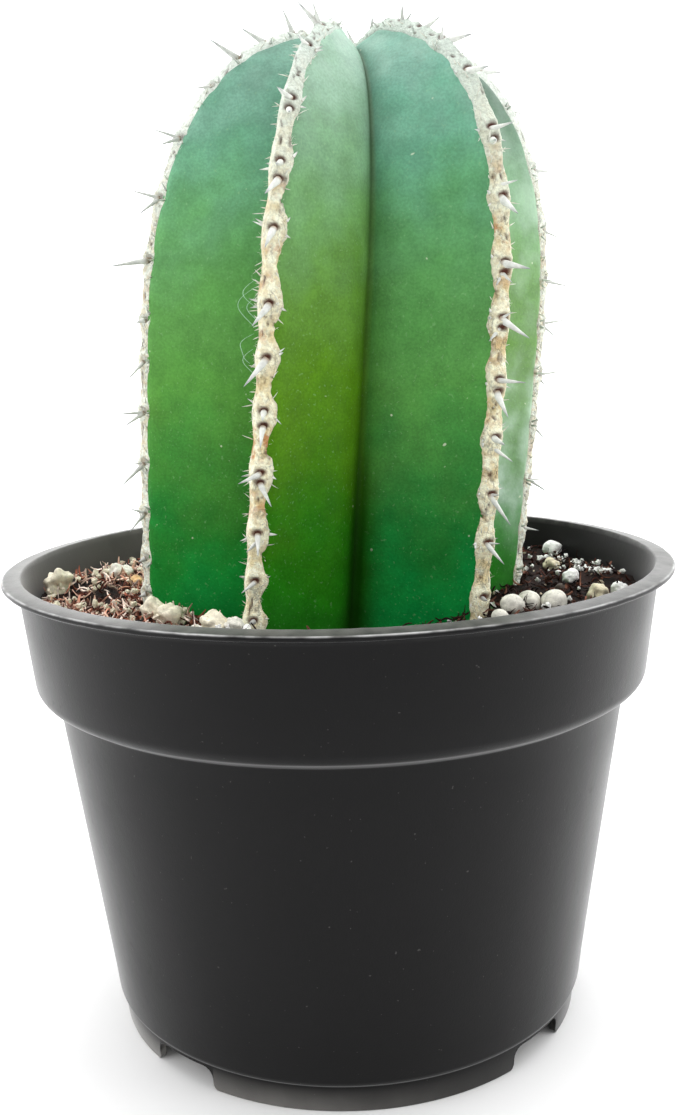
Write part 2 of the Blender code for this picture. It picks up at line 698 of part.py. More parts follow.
def build_crown_wool():
    """The low pad of wool that joins the bands in the sunk crown."""
    bm = bmesh.new()
    bmesh.ops.create_cone(bm, cap_ends=True, segments=12, radius1=CROWN_WOOL_RADIUS,
                          radius2=CROWN_WOOL_RADIUS * CROWN_WOOL_TOP_SHARE, depth=CROWN_WOOL_HEIGHT)
    centre = stem_axis(0.0, CREST_TOP)
    height = CROWN_FLOOR + FELT_GAP + CROWN_WOOL_HEIGHT / 2
    bmesh.ops.translate(bm, verts=bm.verts, vec=(centre.x, centre.y, height))
    return object_from(bm, "felt_and_spines", math.radians(40))


def build_felt_and_spines():
    """The six felt bands, joined at the crown, with all their spines."""
    draw = random.Random(7)
    felt = build_crown_wool()
    repeats = []
    for rib in range(len(RIB_AZIMUTHS)):
        repeats.append(build_band(rib, felt_rows(rib, crest_line(rib))))
        repeats.extend(build_spines(rib, draw))
    join_repeats(felt, repeats)
    dress(felt, "cream_felt", FELT_FINISH)


# The soil


def soil_height(x, y):
    """The soil's surface, gently lumpy, calm next to the stem and sunk in the stem's valleys."""
    radius = math.hypot(x - stem_axis(WIDEST_RADIUS, SOIL_LEVEL).x, y)
    dip = SOIL_DIP * (1.0 - smooth_step(SOIL_DIP_END, SOIL_DIP_START, radius))
    rough = smooth_step(SOIL_CALM_START, SOIL_CALM_END, radius)
    relief = SOIL_RELIEF * (SOIL_CALM_RELIEF + (1.0 - SOIL_CALM_RELIEF) * rough)
    lumps = noise.noise(Vector((x, y, 0.0)) / SOIL_LUMP_SIZE)
    crumbs = noise.noise(Vector((y, x, SOIL_LUMP_SIZE)) / SOIL_CRUMB_SIZE)
    return SOIL_LEVEL - dip + relief * (lumps + 0.5 * crumbs)


def wall_radius_at(height):
    """The radius of the inside of the pot's wall at a height."""
    points = wall_inside()
    for (r0, z0), (r1, z1) in zip(points, points[1:]):
        if z0 <= height <= z1:
            return r0 + (r1 - r0) * (height - z0) / (z1 - z0)
    return points[-1][0]


def build_soil_body():
    """The potting mix: it fills the pot from its floor, with a lumpy top."""
    bm = bmesh.new()
    rim = wall_radius_at(SOIL_LEVEL) - GAP
    rings = []
    for share in SOIL_RING_SHARES:
        ring = []
        for index in range(POT_SEGMENTS):
            place = around(math.tau * index / POT_SEGMENTS + math.pi / 2, rim * share)
            height = SOIL_LEVEL if share == 1.0 else soil_height(place.x, place.y)
            ring.append(place + Vector((0, 0, height)))
        rings.append(ring)
    wall = [(r - GAP, z) for r, z in reversed(wall_inside()) if z < SOIL_LEVEL - 2.0 * MM]
    wall[-1] = (wall[-1][0], wall[-1][1] + GAP)
    for radius, height in wall:
        turn = [math.tau * i / POT_SEGMENTS + math.pi / 2 for i in range(POT_SEGMENTS)]
        rings.append([around(a, radius, height) for a in turn])
    top = Vector((0, 0, soil_height(0, 0)))
    return object_from(skin(rings, top, Vector((0, 0, wall[-1][1]))), "soil", math.radians(35))


def stone(place, half_width, height_share, lumpiness, seed):
    """A stone or grain, an egg of few faces with its lower part in the soil."""
    bm = bmesh.new()
    fineness = 2 if half_width > FINE_STONE_RADIUS else 1
    bmesh.ops.create_icosphere(bm, subdivisions=fineness, radius=half_width)
    for vert in bm.verts:
        swell = noise.noise(vert.co.normalized() * 1.3 + Vector((seed, 0.5 * seed, 0)))
        vert.co *= 1.0 + lumpiness * 2.0 * swell
    draw = random.Random(seed)
    bmesh.ops.scale(bm, verts=bm.verts, vec=(1.0, draw.uniform(0.75, 0.95), height_share))
    turn = Matrix.Rotation(draw.uniform(0, math.pi), 3, "Z")
    bmesh.ops.rotate(bm, verts=bm.verts, cent=(0, 0, 0), matrix=turn)
    lift = half_width * height_share * (1.0 - 2.0 * STONE_SINK)
    bmesh.ops.translate(bm, verts=bm.verts, vec=place + Vector((0, 0, lift)))
    return object_from(bm, "stone")


def chip(place, draw):
    """A shred of bark that lies tilted in the soil."""
    bm = bmesh.new()
    bmesh.ops.create_cube(bm, size=1.0)
    size = Vector(CHIP_SIZE) * draw.uniform(0.7, 1.3)
    bmesh.ops.scale(bm, verts=bm.verts, vec=size)
    ends = [v for v in bm.verts if v.co.x > 0]
    bmesh.ops.scale(bm, verts=ends, vec=CHIP_TAPER)
    tilt = Matrix.Rotation(draw.uniform(-CHIP_TILT, CHIP_TILT), 3, "Y")
    turn = Matrix.Rotation(draw.uniform(0, math.tau), 3, "Z") @ tilt
    bmesh.ops.rotate(bm, verts=bm.verts, cent=(0, 0, 0), matrix=turn)
    bmesh.ops.translate(bm, verts=bm.verts, vec=place - Vector((0, 0, CHIP_SINK)))
    return object_from(bm, "chip")


def free_places(draw, count, margin, taken, azimuths=(0.0, math.tau)):
    """Seeded places on the open soil, clear of the stem, the wall and each other."""
    places = []
    wall = wall_radius_at(SOIL_LEVEL)
    while len(places) < count:
        radius = draw.uniform(SOIL_RADIUS, wall - margin)
        place = around(draw.uniform(*azimuths), radius)
        from_stem = (place - stem_axis(WIDEST_RADIUS, SOIL_LEVEL)).length
        if from_stem < SOIL_RADIUS + FELT_HEIGHT + margin + STEM_ROOM:
            continue
        if any((place - other).length < margin + reach for other, reach in taken):
            continue
        taken.append((place, margin))
        place.z = soil_height(place.x, place.y)
        places.append(place)
    return places


def build_soil():
    """The potting mix with its stones, perlite and bark fused in, and the stem's hole cut out."""
    soil = build_soil_body()
    repeats = []
    taken = []
    for index, (azimuth, radius, half_width, share, lumpiness) in enumerate(STONES):
        place = around(math.radians(azimuth), radius * MM)
        taken.append((place.copy(), half_width * MM * 0.8))
        place.z = soil_height(place.x, place.y)
        repeats.append(stone(place, half_width * MM, share, lumpiness, index + 1))
    draw = random.Random(11)
    back = free_places(draw, BACK_PEBBLE_COUNT, BACK_PEBBLE_ROOM, taken, BACK_AZIMUTHS)
    for index, place in enumerate(back):
        repeats.append(stone(place, BACK_PEBBLE_RADIUS * draw.uniform(0.8, 1.3), 0.8, 0.08, 40 + index))
    for index, place in enumerate(free_places(draw, PERLITE_COUNT, PERLITE_ROOM, taken)):
        repeats.append(stone(place, PERLITE_RADIUS * draw.uniform(0.8, 1.2), 0.9, 0.1, 80 + index))
    for place in free_places(draw, CHIP_COUNT, CHIP_ROOM, taken):
        repeats.append(chip(place, draw))
    join_repeats(soil, repeats)
    for cutter in [stem_hole_cutter()] + [felt_slot_cutter(rib) for rib in range(len(RIB_AZIMUTHS))]:
        boolean(soil, "DIFFERENCE", cutter)
        bpy.data.objects.remove(cutter, do_unlink=True)
    dress(soil, "potting_mix", SOIL_FINISH)


def main():
    """Build the four pieces."""
    clear_scene()
    build_pot()
    build_stem()
    build_felt_and_spines()
    build_soil()


main()
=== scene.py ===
"""Looks of a potted fence post cactus: its stem, felt, spines, pot and potting mix.

Every length is in metres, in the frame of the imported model: +Z up along the pot's axis,
origin at the middle of the pot's base, and the front facing -Y with +X to its right.
"""

from __future__ import annotations

import logging
import math
import random
from collections.abc import Sequence
from dataclasses import dataclass, field
from enum import Enum

import bpy
import numpy as np
from mathutils import Matrix, Vector, noise

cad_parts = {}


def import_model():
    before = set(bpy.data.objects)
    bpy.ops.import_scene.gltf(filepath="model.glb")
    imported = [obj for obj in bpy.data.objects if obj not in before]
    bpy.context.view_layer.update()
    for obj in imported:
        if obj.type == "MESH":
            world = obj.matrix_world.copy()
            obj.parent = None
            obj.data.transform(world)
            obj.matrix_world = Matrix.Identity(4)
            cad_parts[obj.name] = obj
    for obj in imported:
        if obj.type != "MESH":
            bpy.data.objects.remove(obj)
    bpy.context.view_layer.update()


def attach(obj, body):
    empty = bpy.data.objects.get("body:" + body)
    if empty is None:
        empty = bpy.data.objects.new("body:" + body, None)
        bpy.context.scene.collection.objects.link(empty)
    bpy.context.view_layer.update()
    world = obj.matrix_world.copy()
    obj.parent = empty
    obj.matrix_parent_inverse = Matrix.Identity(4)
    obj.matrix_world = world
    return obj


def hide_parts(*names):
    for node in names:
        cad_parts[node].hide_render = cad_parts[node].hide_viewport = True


MM = 0.001
TAU = math.tau
BODY = "root"
SEAM_REACH = 1e-7
LOG = logging.getLogger("cactus")
Array = np.ndarray
Number = np.ndarray | float
Colour = tuple[float, float, float]
Marks = dict[str, np.ndarray]
Profile = Sequence[tuple[float, float]]
Piece = bpy.types.Object
Material = bpy.types.Material
Node = bpy.types.Node
Socket = bpy.types.NodeSocket
Inputs = dict[str | int, object]


def smooth_step(low: float, high: float, value: Number) -> Number:
    """Rises smoothly from 0 at low to 1 at high."""
    share = np.clip((value - low) / (high - low), 0.0, 1.0)
    return share * share * (3.0 - 2.0 * share)


def around(azimuth: Number, radius: Number, height: Number = 0.0) -> Array:
    """Gives the points at azimuths, counted from the front towards +X, and distances from the pot's axis."""
    azimuth, radius, height = np.broadcast_arrays(azimuth, radius, height)
    return np.stack([radius * np.sin(azimuth), -radius * np.cos(azimuth), height], axis=-1)


def unit(vectors: Array) -> Array:
    """Scales vectors to length 1."""
    return vectors / np.maximum(np.linalg.norm(vectors, axis=-1, keepdims=True), 1e-12)


def noise_at(points: Array, size: float, seed: float = 0.0) -> Array:
    """Reads noise with lumps this wide, between about -1 and 1. The seed shifts its pattern."""
    flat = points.reshape(-1, 3) / size + np.array([seed, 1.7 * seed, -0.6 * seed])
    return np.array([noise.noise(place) for place in flat.tolist()]).reshape(points.shape[:-1])


def linear(*steps: int) -> Colour:
    """Turns a colour given in display steps from 0 to 255 into linear light."""
    shares = (step / 255.0 for step in steps)
    return tuple(share / 12.92 if share <= 0.04045 else ((share + 0.055) / 1.055) ** 2.4 for share in shares)


def radians(*turns: float) -> tuple[float, ...]:
    """Turns degrees into radians."""
    return tuple(math.radians(turn) for turn in turns)


def dimmed(colour: Colour, factor: float) -> Colour:
    """Multiplies a colour."""
    return tuple(part * factor for part in colour)


class Shell(Enum):
    """How the columns of a grid of points meet."""

    OPEN = "open"
    CLOSED_ROUND = "closed round"


def select(*pieces: Piece) -> None:
    """Leaves only these pieces selected, or nothing before a new piece is added.

    Args:
        pieces: the pieces; the first becomes active.
    """
    if bpy.context.object and bpy.context.object.mode != "OBJECT":
        bpy.ops.object.mode_set(mode="OBJECT")
    bpy.ops.object.select_all(action="DESELECT")
    for piece in pieces:
        piece.select_set(True)
    if pieces:
        bpy.context.view_layer.objects.active = pieces[0]


def edit_all(piece: Piece) -> None:
    """Opens a piece in edit mode, with all of it selected.

    Args:
        piece: the piece to open.
    """
    select(piece)
    bpy.ops.object.mode_set(mode="EDIT")
    bpy.ops.mesh.select_all(action="SELECT")


def settle(piece: Piece, name: str, merge: float = 0.0, smooth: float = 180.0) -> Piece:
    """Merges a piece's seams, turns its faces outward, shades it and puts its place in its mesh.

    Args:
        piece: the piece to finish.
        name: its name.
        merge: points closer than this are merged; 0 merges none.
        smooth: faces that meet at less than this angle, in degrees, are shaded smooth.

    Returns:
        The same piece.
    """
    select(piece)
    bpy.ops.object.transform_apply(location=True, rotation=True, scale=True)
    edit_all(piece)
    if merge > 0.0:
        bpy.ops.mesh.remove_doubles(threshold=merge)
    bpy.ops.mesh.normals_make_consistent(inside=False)
    bpy.ops.object.mode_set(mode="OBJECT")
    bpy.ops.object.shade_smooth_by_angle(angle=math.radians(smooth))
    piece.name = name
    piece.data.name = name
    return piece


def put_marks(mesh: bpy.types.Mesh, marks: Marks) -> None:
    """Stores values on a mesh's points, for its material to read.

    Args:
        mesh: the mesh.
        marks: for each name one value a point, or one colour a point.
    """
    for name, values in marks.items():
        if values.ndim == 2:
            layer = mesh.attributes.new(name, "FLOAT_COLOR", "POINT")
            layer.data.foreach_set("color", np.pad(values, ((0, 0), (0, 1)), constant_values=1.0).ravel())
        else:
            layer = mesh.attributes.new(name, "FLOAT", "POINT")
            layer.data.foreach_set("value", values.ravel())


def grid_piece(name: str, points: Array, marks: Marks, ends: tuple[Array, Array] | None = None,
               shell: Shell = Shell.CLOSED_ROUND) -> Piece:
    """Lays a grid over rows and columns of points.

    Args:
        name: the piece's name.
        points: rows by columns by x, y, z.
        marks: values for the material, rows by columns each.
        ends: points that close the first and the last row.
        shell: whether the last column meets the first.

    Returns:
        The finished piece.
    """
    if ends:
        caps = [np.broadcast_to(end, points[:1].shape) for end in ends]
        points = np.concatenate([caps[0], points, caps[1]])
        marks = {key: np.concatenate([value[:1], value, value[-1:]]) for key, value in marks.items()}
    if shell is Shell.CLOSED_ROUND:
        points = np.concatenate([points, points[:, :1]], axis=1)
        marks = {key: np.concatenate([value, value[:, :1]], axis=1) for key, value in marks.items()}
    rows, columns = points.shape[:2]
    select()
    bpy.ops.mesh.primitive_grid_add(x_subdivisions=columns - 1, y_subdivisions=rows - 1, size=1.0)
    piece = bpy.context.object
    piece.data.vertices.foreach_set("co", points.reshape(-1))
    put_marks(piece.data, {key: value.reshape(-1) for key, value in marks.items()})
    return settle(piece, name, merge=SEAM_REACH)


def join(pieces: list[Piece], name: str) -> Piece:
    """Joins pieces in the first of them.

    Args:
        pieces: the pieces.
        name: the joined piece's name.

    Returns:
        The joined piece.
    """
    select(*pieces)
    bpy.ops.object.join()
    pieces[0].name = name
    return pieces[0]


def hand_over(piece: Piece, material: Material, node: str) -> None:
    """Dresses a piece, lets it ride on the pot's body, hides the CAD node that it replaces, and reports it.

    Args:
        piece: the finished piece.
        material: its material.
        node: the CAD node that it replaces.
    """
    piece.data.materials.clear()
    piece.data.materials.append(material)
    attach(piece, BODY)
    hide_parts(node)
    LOG.info("%s: %d faces", piece.name, len(piece.data.polygons))


class Sheet:
    """A node tree with short calls to place nodes in it and join them."""

    def __init__(self, tree: bpy.types.NodeTree) -> None:
        """Keeps the tree that the calls below fill."""
        self.tree = tree

    def add(self, kind: str, inputs: Inputs | None = None, **settings: object) -> Node:
        """Places a node.

        Args:
            kind: the node's type, without its leading ShaderNode.
            inputs: for each input, a constant or the socket that feeds it.
            settings: the node's properties.

        Returns:
            The node.
        """
        node = self.tree.nodes.new("ShaderNode" + kind)
        for key, value in settings.items():
            setattr(node, key, value)
        self.feed(node, inputs or {})
        return node

    def feed(self, node: Node, inputs: Inputs) -> None:
        """Feeds a node's inputs.

        Args:
            node: the node.
            inputs: for each input, a constant or the socket that feeds it.
        """
        for key, value in inputs.items():
            target = node.inputs[key]
            if isinstance(value, Socket):
                self.tree.links.new(value, target)
            elif isinstance(value, tuple) and target.type == "RGBA":
                target.default_value = (*value, 1.0)
            else:
                target.default_value = value

    def math(self, operation: str, *values: object) -> Socket:
        """Works out a number, kept between 0 and 1 where the operation's name ends with a bang."""
        return self.add("Math", dict(enumerate(values)), operation=operation.rstrip("!"),
                        use_clamp=operation.endswith("!")).outputs[0]

    def times(self, value: object, *factors: object) -> Socket:
        """Multiplies a number.

        Args:
            value: the number.
            factors: what it is multiplied by.

        Returns:
            The product.
        """
        for factor in factors:
            value = self.math("MULTIPLY", value, factor)
        return value

    def vector(self, operation: str, inputs: Inputs) -> Socket:
        """Works out a vector, or the length of one."""
        node = self.add("VectorMath", inputs, operation=operation)
        return node.outputs["Value" if operation == "LENGTH" else "Vector"]

    def mix(self, mask: object, first: object, second: object) -> Socket:
        """Mixes two colours; the mask is the second one's share."""
        return self.add("Mix", {0: mask, 6: first, 7: second}, data_type="RGBA").outputs[2]

    def mark(self, name: str) -> Socket:
        """Reads a value stored on the mesh's points."""
        return self.add("Attribute", attribute_name=name).outputs["Fac"]

    def place(self, axis: int | None = None) -> Socket:
        """Gives the place on the object, or one of its coordinates."""
        place = self.add("TexCoord").outputs["Object"]
        return place if axis is None else self.add("SeparateXYZ", {0: place}).outputs[axis]

    def span(self, value: object, low: object, high: object, to_low: object = 0.0, to_high: object = 1.0,
             kind: str = "SMOOTHSTEP") -> Socket:
        """Maps a span of values to another one.

        Args:
            value: the value's socket.
            low: start of the span.
            high: its end.
            to_low: result at the start.
            to_high: result at the end.
            kind: how it runs between them.

        Returns:
            The result's socket.
        """
        limits = {0: value, 1: low, 2: high, 3: to_low, 4: to_high}
        return self.add("MapRange", limits, interpolation_type=kind).outputs[0]

    def group(self, tree: bpy.types.NodeTree, **inputs: object) -> Socket:
        """Places a node group, feeds its inputs by their names, and gives its output.

        Args:
            tree: the group.
            inputs: for each input, a constant or a socket.

        Returns:
            The output's socket.
        """
        node = self.add("Group", node_tree=tree)
        self.feed(node, inputs)
        return node.outputs[0]


class Effects:
    """Shader node groups that more than one material uses, each built once."""

    def __init__(self) -> None:
        """Builds the groups.

        Cloud gives patches of noise: 1 in a patch and 0 beside it. Relief gives the height of fine grain with
        coarser lumps under it. Tint makes a colour Dark times as bright where Mask is 0, and Light times
        where it is 1.
        """
        sheet, given, result = self._open("Cloud", "Mask", Scale=100.0, Detail=3.0, From=0.4, To=0.6,
                                          Shift=0.0)
        grain = sheet.add("TexNoise", {"Vector": sheet.place(), "W": given["Shift"], "Scale": given["Scale"],
                                       "Detail": given["Detail"]}, noise_dimensions="4D").outputs[0]
        sheet.feed(result, {0: sheet.span(grain, given["From"], given["To"])})
        self.cloud = sheet.tree
        sheet, given, result = self._open("Relief", "Height", Fine=2000.0, Coarse=400.0, Share=0.5)
        fine, coarse = (sheet.add("TexNoise", {"Vector": sheet.place(), "Scale": given[key], "Detail": 2.0})
                        for key in ("Fine", "Coarse"))
        lumps = sheet.times(coarse.outputs[0], given["Share"])
        sheet.feed(result, {0: sheet.math("ADD", fine.outputs[0], lumps)})
        self.relief = sheet.tree
        sheet, given, result = self._open("Tint", "Colour", Colour=0.0, Mask=0.5, Dark=0.8, Light=1.2)
        factor = sheet.span(given["Mask"], 0.0, 1.0, given["Dark"], given["Light"], "LINEAR")
        sheet.feed(result, {0: sheet.vector("SCALE", {0: given["Colour"], 3: factor})})
        self.tint = sheet.tree

    @staticmethod
    def _open(name: str, output: str, **inputs: float) -> tuple[Sheet, bpy.types.NodeOutputs, Node]:
        """Starts a group of number sockets; one named Colour is a colour.

        Args:
            name: the group's name.
            output: name of its output.
            inputs: first values of its inputs.

        Returns:
            Its sheet, the sockets of its inputs, and its output node.
        """
        tree = bpy.data.node_groups.new(name, "ShaderNodeTree")
        kinds = {True: "NodeSocketColor", False: "NodeSocketFloat"}
        for key, value in inputs.items():
            socket = tree.interface.new_socket(key, in_out="INPUT", socket_type=kinds[key == "Colour"])
            if key != "Colour":
                socket.default_value = value
        tree.interface.new_socket(output, in_out="OUTPUT", socket_type=kinds[output == "Colour"])
        return Sheet(tree), tree.nodes.new("NodeGroupInput").outputs, tree.nodes.new("NodeGroupOutput")


class Paint(Sheet):
    """A material's sheet, with calls for its shader and for the shared effects."""

    def __init__(self, name: str, effects: Effects) -> None:
        """Starts a material with its Principled shader.

        Args:
            name: the material's name.
            effects: the shared node groups.
        """
        self.material = bpy.data.materials.new(name)
        self.material.use_nodes = True
        self.effects = effects
        super().__init__(self.material.node_tree)

    def cloud(self, scale: float, detail: float, low: float, high: float, shift: float = 0.0) -> Socket:
        """Gives a mask of noise patches, which rise from low to high."""
        return self.group(self.effects.cloud, Scale=scale, Detail=detail, From=low, To=high, Shift=shift)

    def tint(self, colour: object, mask: object, dark: object, light: object) -> Socket:
        """Makes a colour dark times as bright where the mask is 0, and light times where it is 1."""
        return self.group(self.effects.tint, Colour=colour, Mask=mask, Dark=dark, Light=light)

    def ramp(self, place: Socket, stops: tuple[tuple[float, Colour], ...]) -> Socket:
        """Reads a colour ramp.

        Args:
            place: where to read it, from 0 to 1.
            stops: places and their linear colours.

        Returns:
            The colour's socket.
        """
        node = self.add("ValToRGB", {0: place})
        elements = node.color_ramp.elements
        while len(elements) < len(stops):
            elements.new(0.5)
        for element, (position, colour) in zip(elements, stops):
            element.position = position
            element.color = (*colour, 1.0)
        return node.outputs[0]

    def finish(self, colour: object, roughness: object, gloss: float, relief: tuple[float, ...] = (),
               others: dict[str, object] | None = None) -> Material:
        """Feeds the shader.

        Args:
            colour: its base colour.
            roughness: its roughness.
            gloss: its specular level.
            relief: scales of fine grain and coarse lumps, the lumps' share, depth and strength, or nothing.
            others: its other inputs by name.

        Returns:
            The material.
        """
        shader = self.tree.nodes["Principled BSDF"]
        self.feed(shader, {"Base Color": colour, "Roughness": roughness, "Specular IOR Level": gloss})
        self.feed(shader, others or {})
        if relief:
            fine, coarse, share, depth, strength = relief
            height = self.group(self.effects.relief, Fine=fine, Coarse=coarse, Share=share)
            node = self.add("Bump", {"Height": height, "Distance": depth, "Strength": strength})
            self.feed(shader, {"Normal": node.outputs[0]})
        return self.material


@dataclass(frozen=True)
class StemForm:
    """The ribbed column that the stem's skin, felt and spines follow. Ribs count from the front left."""

    base: float = 64.0 * MM
    base_round: float = 11.0 * MM
    base_narrowing: float = 0.28
    base_valley_filling: float = 0.25
    soil_level: float = 100.0 * MM
    soil_radius: float = 43.9 * MM
    widest_height: float = 162.0 * MM
    widest_radius: float = 45.4 * MM
    crest_top: float = 227.3 * MM
    crown_floor: float = 223.0 * MM
    crown_floor_radius: float = 3.6 * MM
    crown_edge_radius: float = 11.5 * MM
    wool_radius: float = 3.2 * MM
    wool_height: float = 1.6 * MM
    dome_power: float = 2.36
    dome_power_across: float = 2.6
    valley_power: float = 2.2
    valley_share: float = 0.55
    flank_bulges: tuple[float, ...] = (1.0 * MM, 2.1 * MM, 1.4 * MM, 1.4 * MM, 1.4 * MM, 1.4 * MM)
    flank_bulge_places: tuple[float, ...] = (1.3, 1.9, 1.5, 1.5, 1.5, 1.5)
    crest_half_width: float = 2.5 * MM
    crest_drop: float = 1.25 * MM
    azimuths: tuple[float, ...] = radians(-76.0, -19.5, 43.5, 97.0, 158.0, 221.0)
    reaches: tuple[float, ...] = (1.0, 0.995, 1.0, 1.026, 1.0, 0.99)
    spread_low: tuple[float, ...] = radians(0.0, -2.5, 2.0, 0.0, 1.5, -1.0)
    valley_swings: tuple[float, ...] = radians(7.5, -2.0, 0.0, 0.0, 0.0, 0.0)
    centre: float = 2.9 * MM
    lean: float = 0.071
    crown_shift: float = -2.5 * MM
    crown_shift_power: float = 1.5

    def shaft_radius(self, height: Number) -> Number:
        """Gives the crests' distance from the axis below the widest height."""
        share = (height - self.soil_level) / (self.widest_height - self.soil_level)
        return self.soil_radius + (self.widest_radius - self.soil_radius) * np.sin(share * np.pi / 2)

    def dome(self, share: Array) -> Array:
        """Gives the dome's rows.

        Args:
            share: places from the widest height, 0, to the crown, 1.

        Returns:
            For each, the crests' radius and height, and the valleys' radius and height.
        """
        turn = np.pi / 2 * share
        radius = self.widest_radius * np.cos(turn) ** (2.0 / self.dome_power_across)
        rise = np.sin(turn)
        height = self.widest_height + (self.crest_top - self.widest_height) * rise ** (2.0 / self.dome_power)
        dip = 1.0 - smooth_step(self.crown_floor_radius, self.crown_edge_radius, radius)
        height = height - (self.crest_top - self.crown_floor) * dip
        low = self.widest_height + (self.crown_floor - self.widest_height) * rise ** (2.0 / self.valley_power)
        return np.stack([radius, height, radius * self.valley_share, np.minimum(low, height)], axis=-1)

    def rows(self, base_rows: int, shaft_rows: int, dome_rows: int, dome_end: float) -> Array:
        """Gives all rows from the buried base to the crown.

        Args:
            base_rows: rows on the rounded base.
            shaft_rows: rows from there to the widest height.
            dome_rows: rows from there to the crown.
            dome_end: the last row's share of the dome.

        Returns:
            For each row, the crests' radius and height, and the valleys' radius and height.
        """
        turn = np.linspace(0.0, np.pi / 2, base_rows, endpoint=False)
        shaft_start = self.base + self.base_round
        radius = self.shaft_radius(shaft_start) * (1.0 - self.base_narrowing * (1.0 - np.sin(turn)))
        height = shaft_start - self.base_round * np.cos(turn)
        share = self.valley_share + self.base_valley_filling * np.cos(turn)
        base = np.stack([radius, height, radius * share, height], axis=-1)
        height = np.linspace(shaft_start, self.widest_height, shaft_rows, endpoint=False)
        radius = self.shaft_radius(height)
        shaft = np.stack([radius, height, radius * self.valley_share, height], axis=-1)
        return np.concatenate([base, shaft, self.dome(np.linspace(0.0, dome_end, dome_rows))])

    def axis(self, radius: Number, height: Number) -> Array:
        """Gives the x of the column's middle at crests of this radius and height.

        Args:
            radius: the crests' distance from the column's middle.
            height: their height.

        Returns:
            The middle's x.
        """
        inward = np.maximum(1.0 - radius / self.widest_radius, 0.0) * (height > self.widest_height)
        leaning = self.centre + self.lean * (height - self.widest_height)
        return leaning + self.crown_shift * inward ** self.crown_shift_power

    def azimuth(self, rib: int, height: Number) -> Number:
        """Gives a rib's azimuth, which spreads a little towards the soil."""
        low = np.clip((self.widest_height - height) / (self.widest_height - self.soil_level), 0.0, 1.0)
        return self.azimuths[rib] + self.spread_low[rib] * low

    def valley(self, rib: int, height: Number) -> Number:
        """Gives the azimuth of the valley after a rib.

        Args:
            rib: which rib.
            height: where to read it.

        Returns:
            The azimuth.
        """
        rib %= len(self.azimuths)
        following = (rib + 1) % len(self.azimuths)
        there = self.azimuth(following, height) + (TAU if following == 0 else 0.0)
        return (self.azimuth(rib, height) + there) / 2.0 + self.valley_swings[rib]

    def crest_slope(self, radius: Number) -> Number:
        """Gives the fall of a crest's blunt edge to its side, at this distance from the axis."""
        full = self.crest_drop / self.crest_half_width
        return full * smooth_step(self.crown_floor_radius, self.crown_edge_radius, radius)


@dataclass
class CrestLine:
    """One rib's crest, from the crown's wool to just below the soil, read by lengths from the crown."""

    form: StemForm
    rib: int
    steps: int = 480
    top: float = 0.995
    low: float = 95.5 * MM
    reach: float = 1.0 * MM

    def __post_init__(self) -> None:
        """Places the crest's points and measures its length."""
        form = self.form
        dome = form.dome(self.top * (1.0 - np.arange(self.steps) / self.steps))[:, :2]
        heights = np.linspace(form.widest_height, self.low, self.steps + 1)
        shaft = np.stack([form.shaft_radius(heights), heights], axis=-1)
        radius, height = np.concatenate([dome[dome[:, 0] > form.wool_radius / 2.0], shaft]).T
        self.points = around(form.azimuth(self.rib, height), radius * form.reaches[self.rib], height)
        self.points[:, 0] += form.axis(radius, height)
        run = np.linalg.norm(np.diff(self.points, axis=0), axis=1)
        self.lengths = np.concatenate([[0.0], np.cumsum(run)])
        self.total = float(self.lengths[-1])

    def read(self, length: Array) -> Array:
        """Gives the points at these lengths."""
        return np.stack([np.interp(length, self.lengths, values) for values in self.points.T], axis=-1)

    def place(self, length: Array) -> tuple[Array, Array, Array, Array]:
        """Gives places on the crest.

        Args:
            length: lengths run from the crown.

        Returns:
            Points, and their directions down the crest, sideways and outward.
        """
        point = self.read(length)
        ahead = self.read(np.minimum(length + self.reach, self.total))
        down = unit(ahead - self.read(np.maximum(length - self.reach, 0.0)))
        sideways = around(self.form.azimuth(self.rib, point[:, 2]) + np.pi / 2, 1.0)
        return point, down, sideways, unit(np.cross(down, sideways))


@dataclass(frozen=True)
class Flank:
    """How one side of a rib is coloured: its tone, painted light and shade that makes it brighter or darker
    as it faces the lights, with top the tone's share at the crown, and its share of warm green and of pale
    bloom.
    """

    tone: float
    warmth: float
    bloom: float
    top: float = 1.0


def stops(*rows: tuple[float, int, int, int]) -> tuple[tuple[float, Colour], ...]:
    """Gives a ramp's stops from rows of a place and a colour in display steps."""
    return tuple((place, linear(*steps)) for place, *steps in rows)


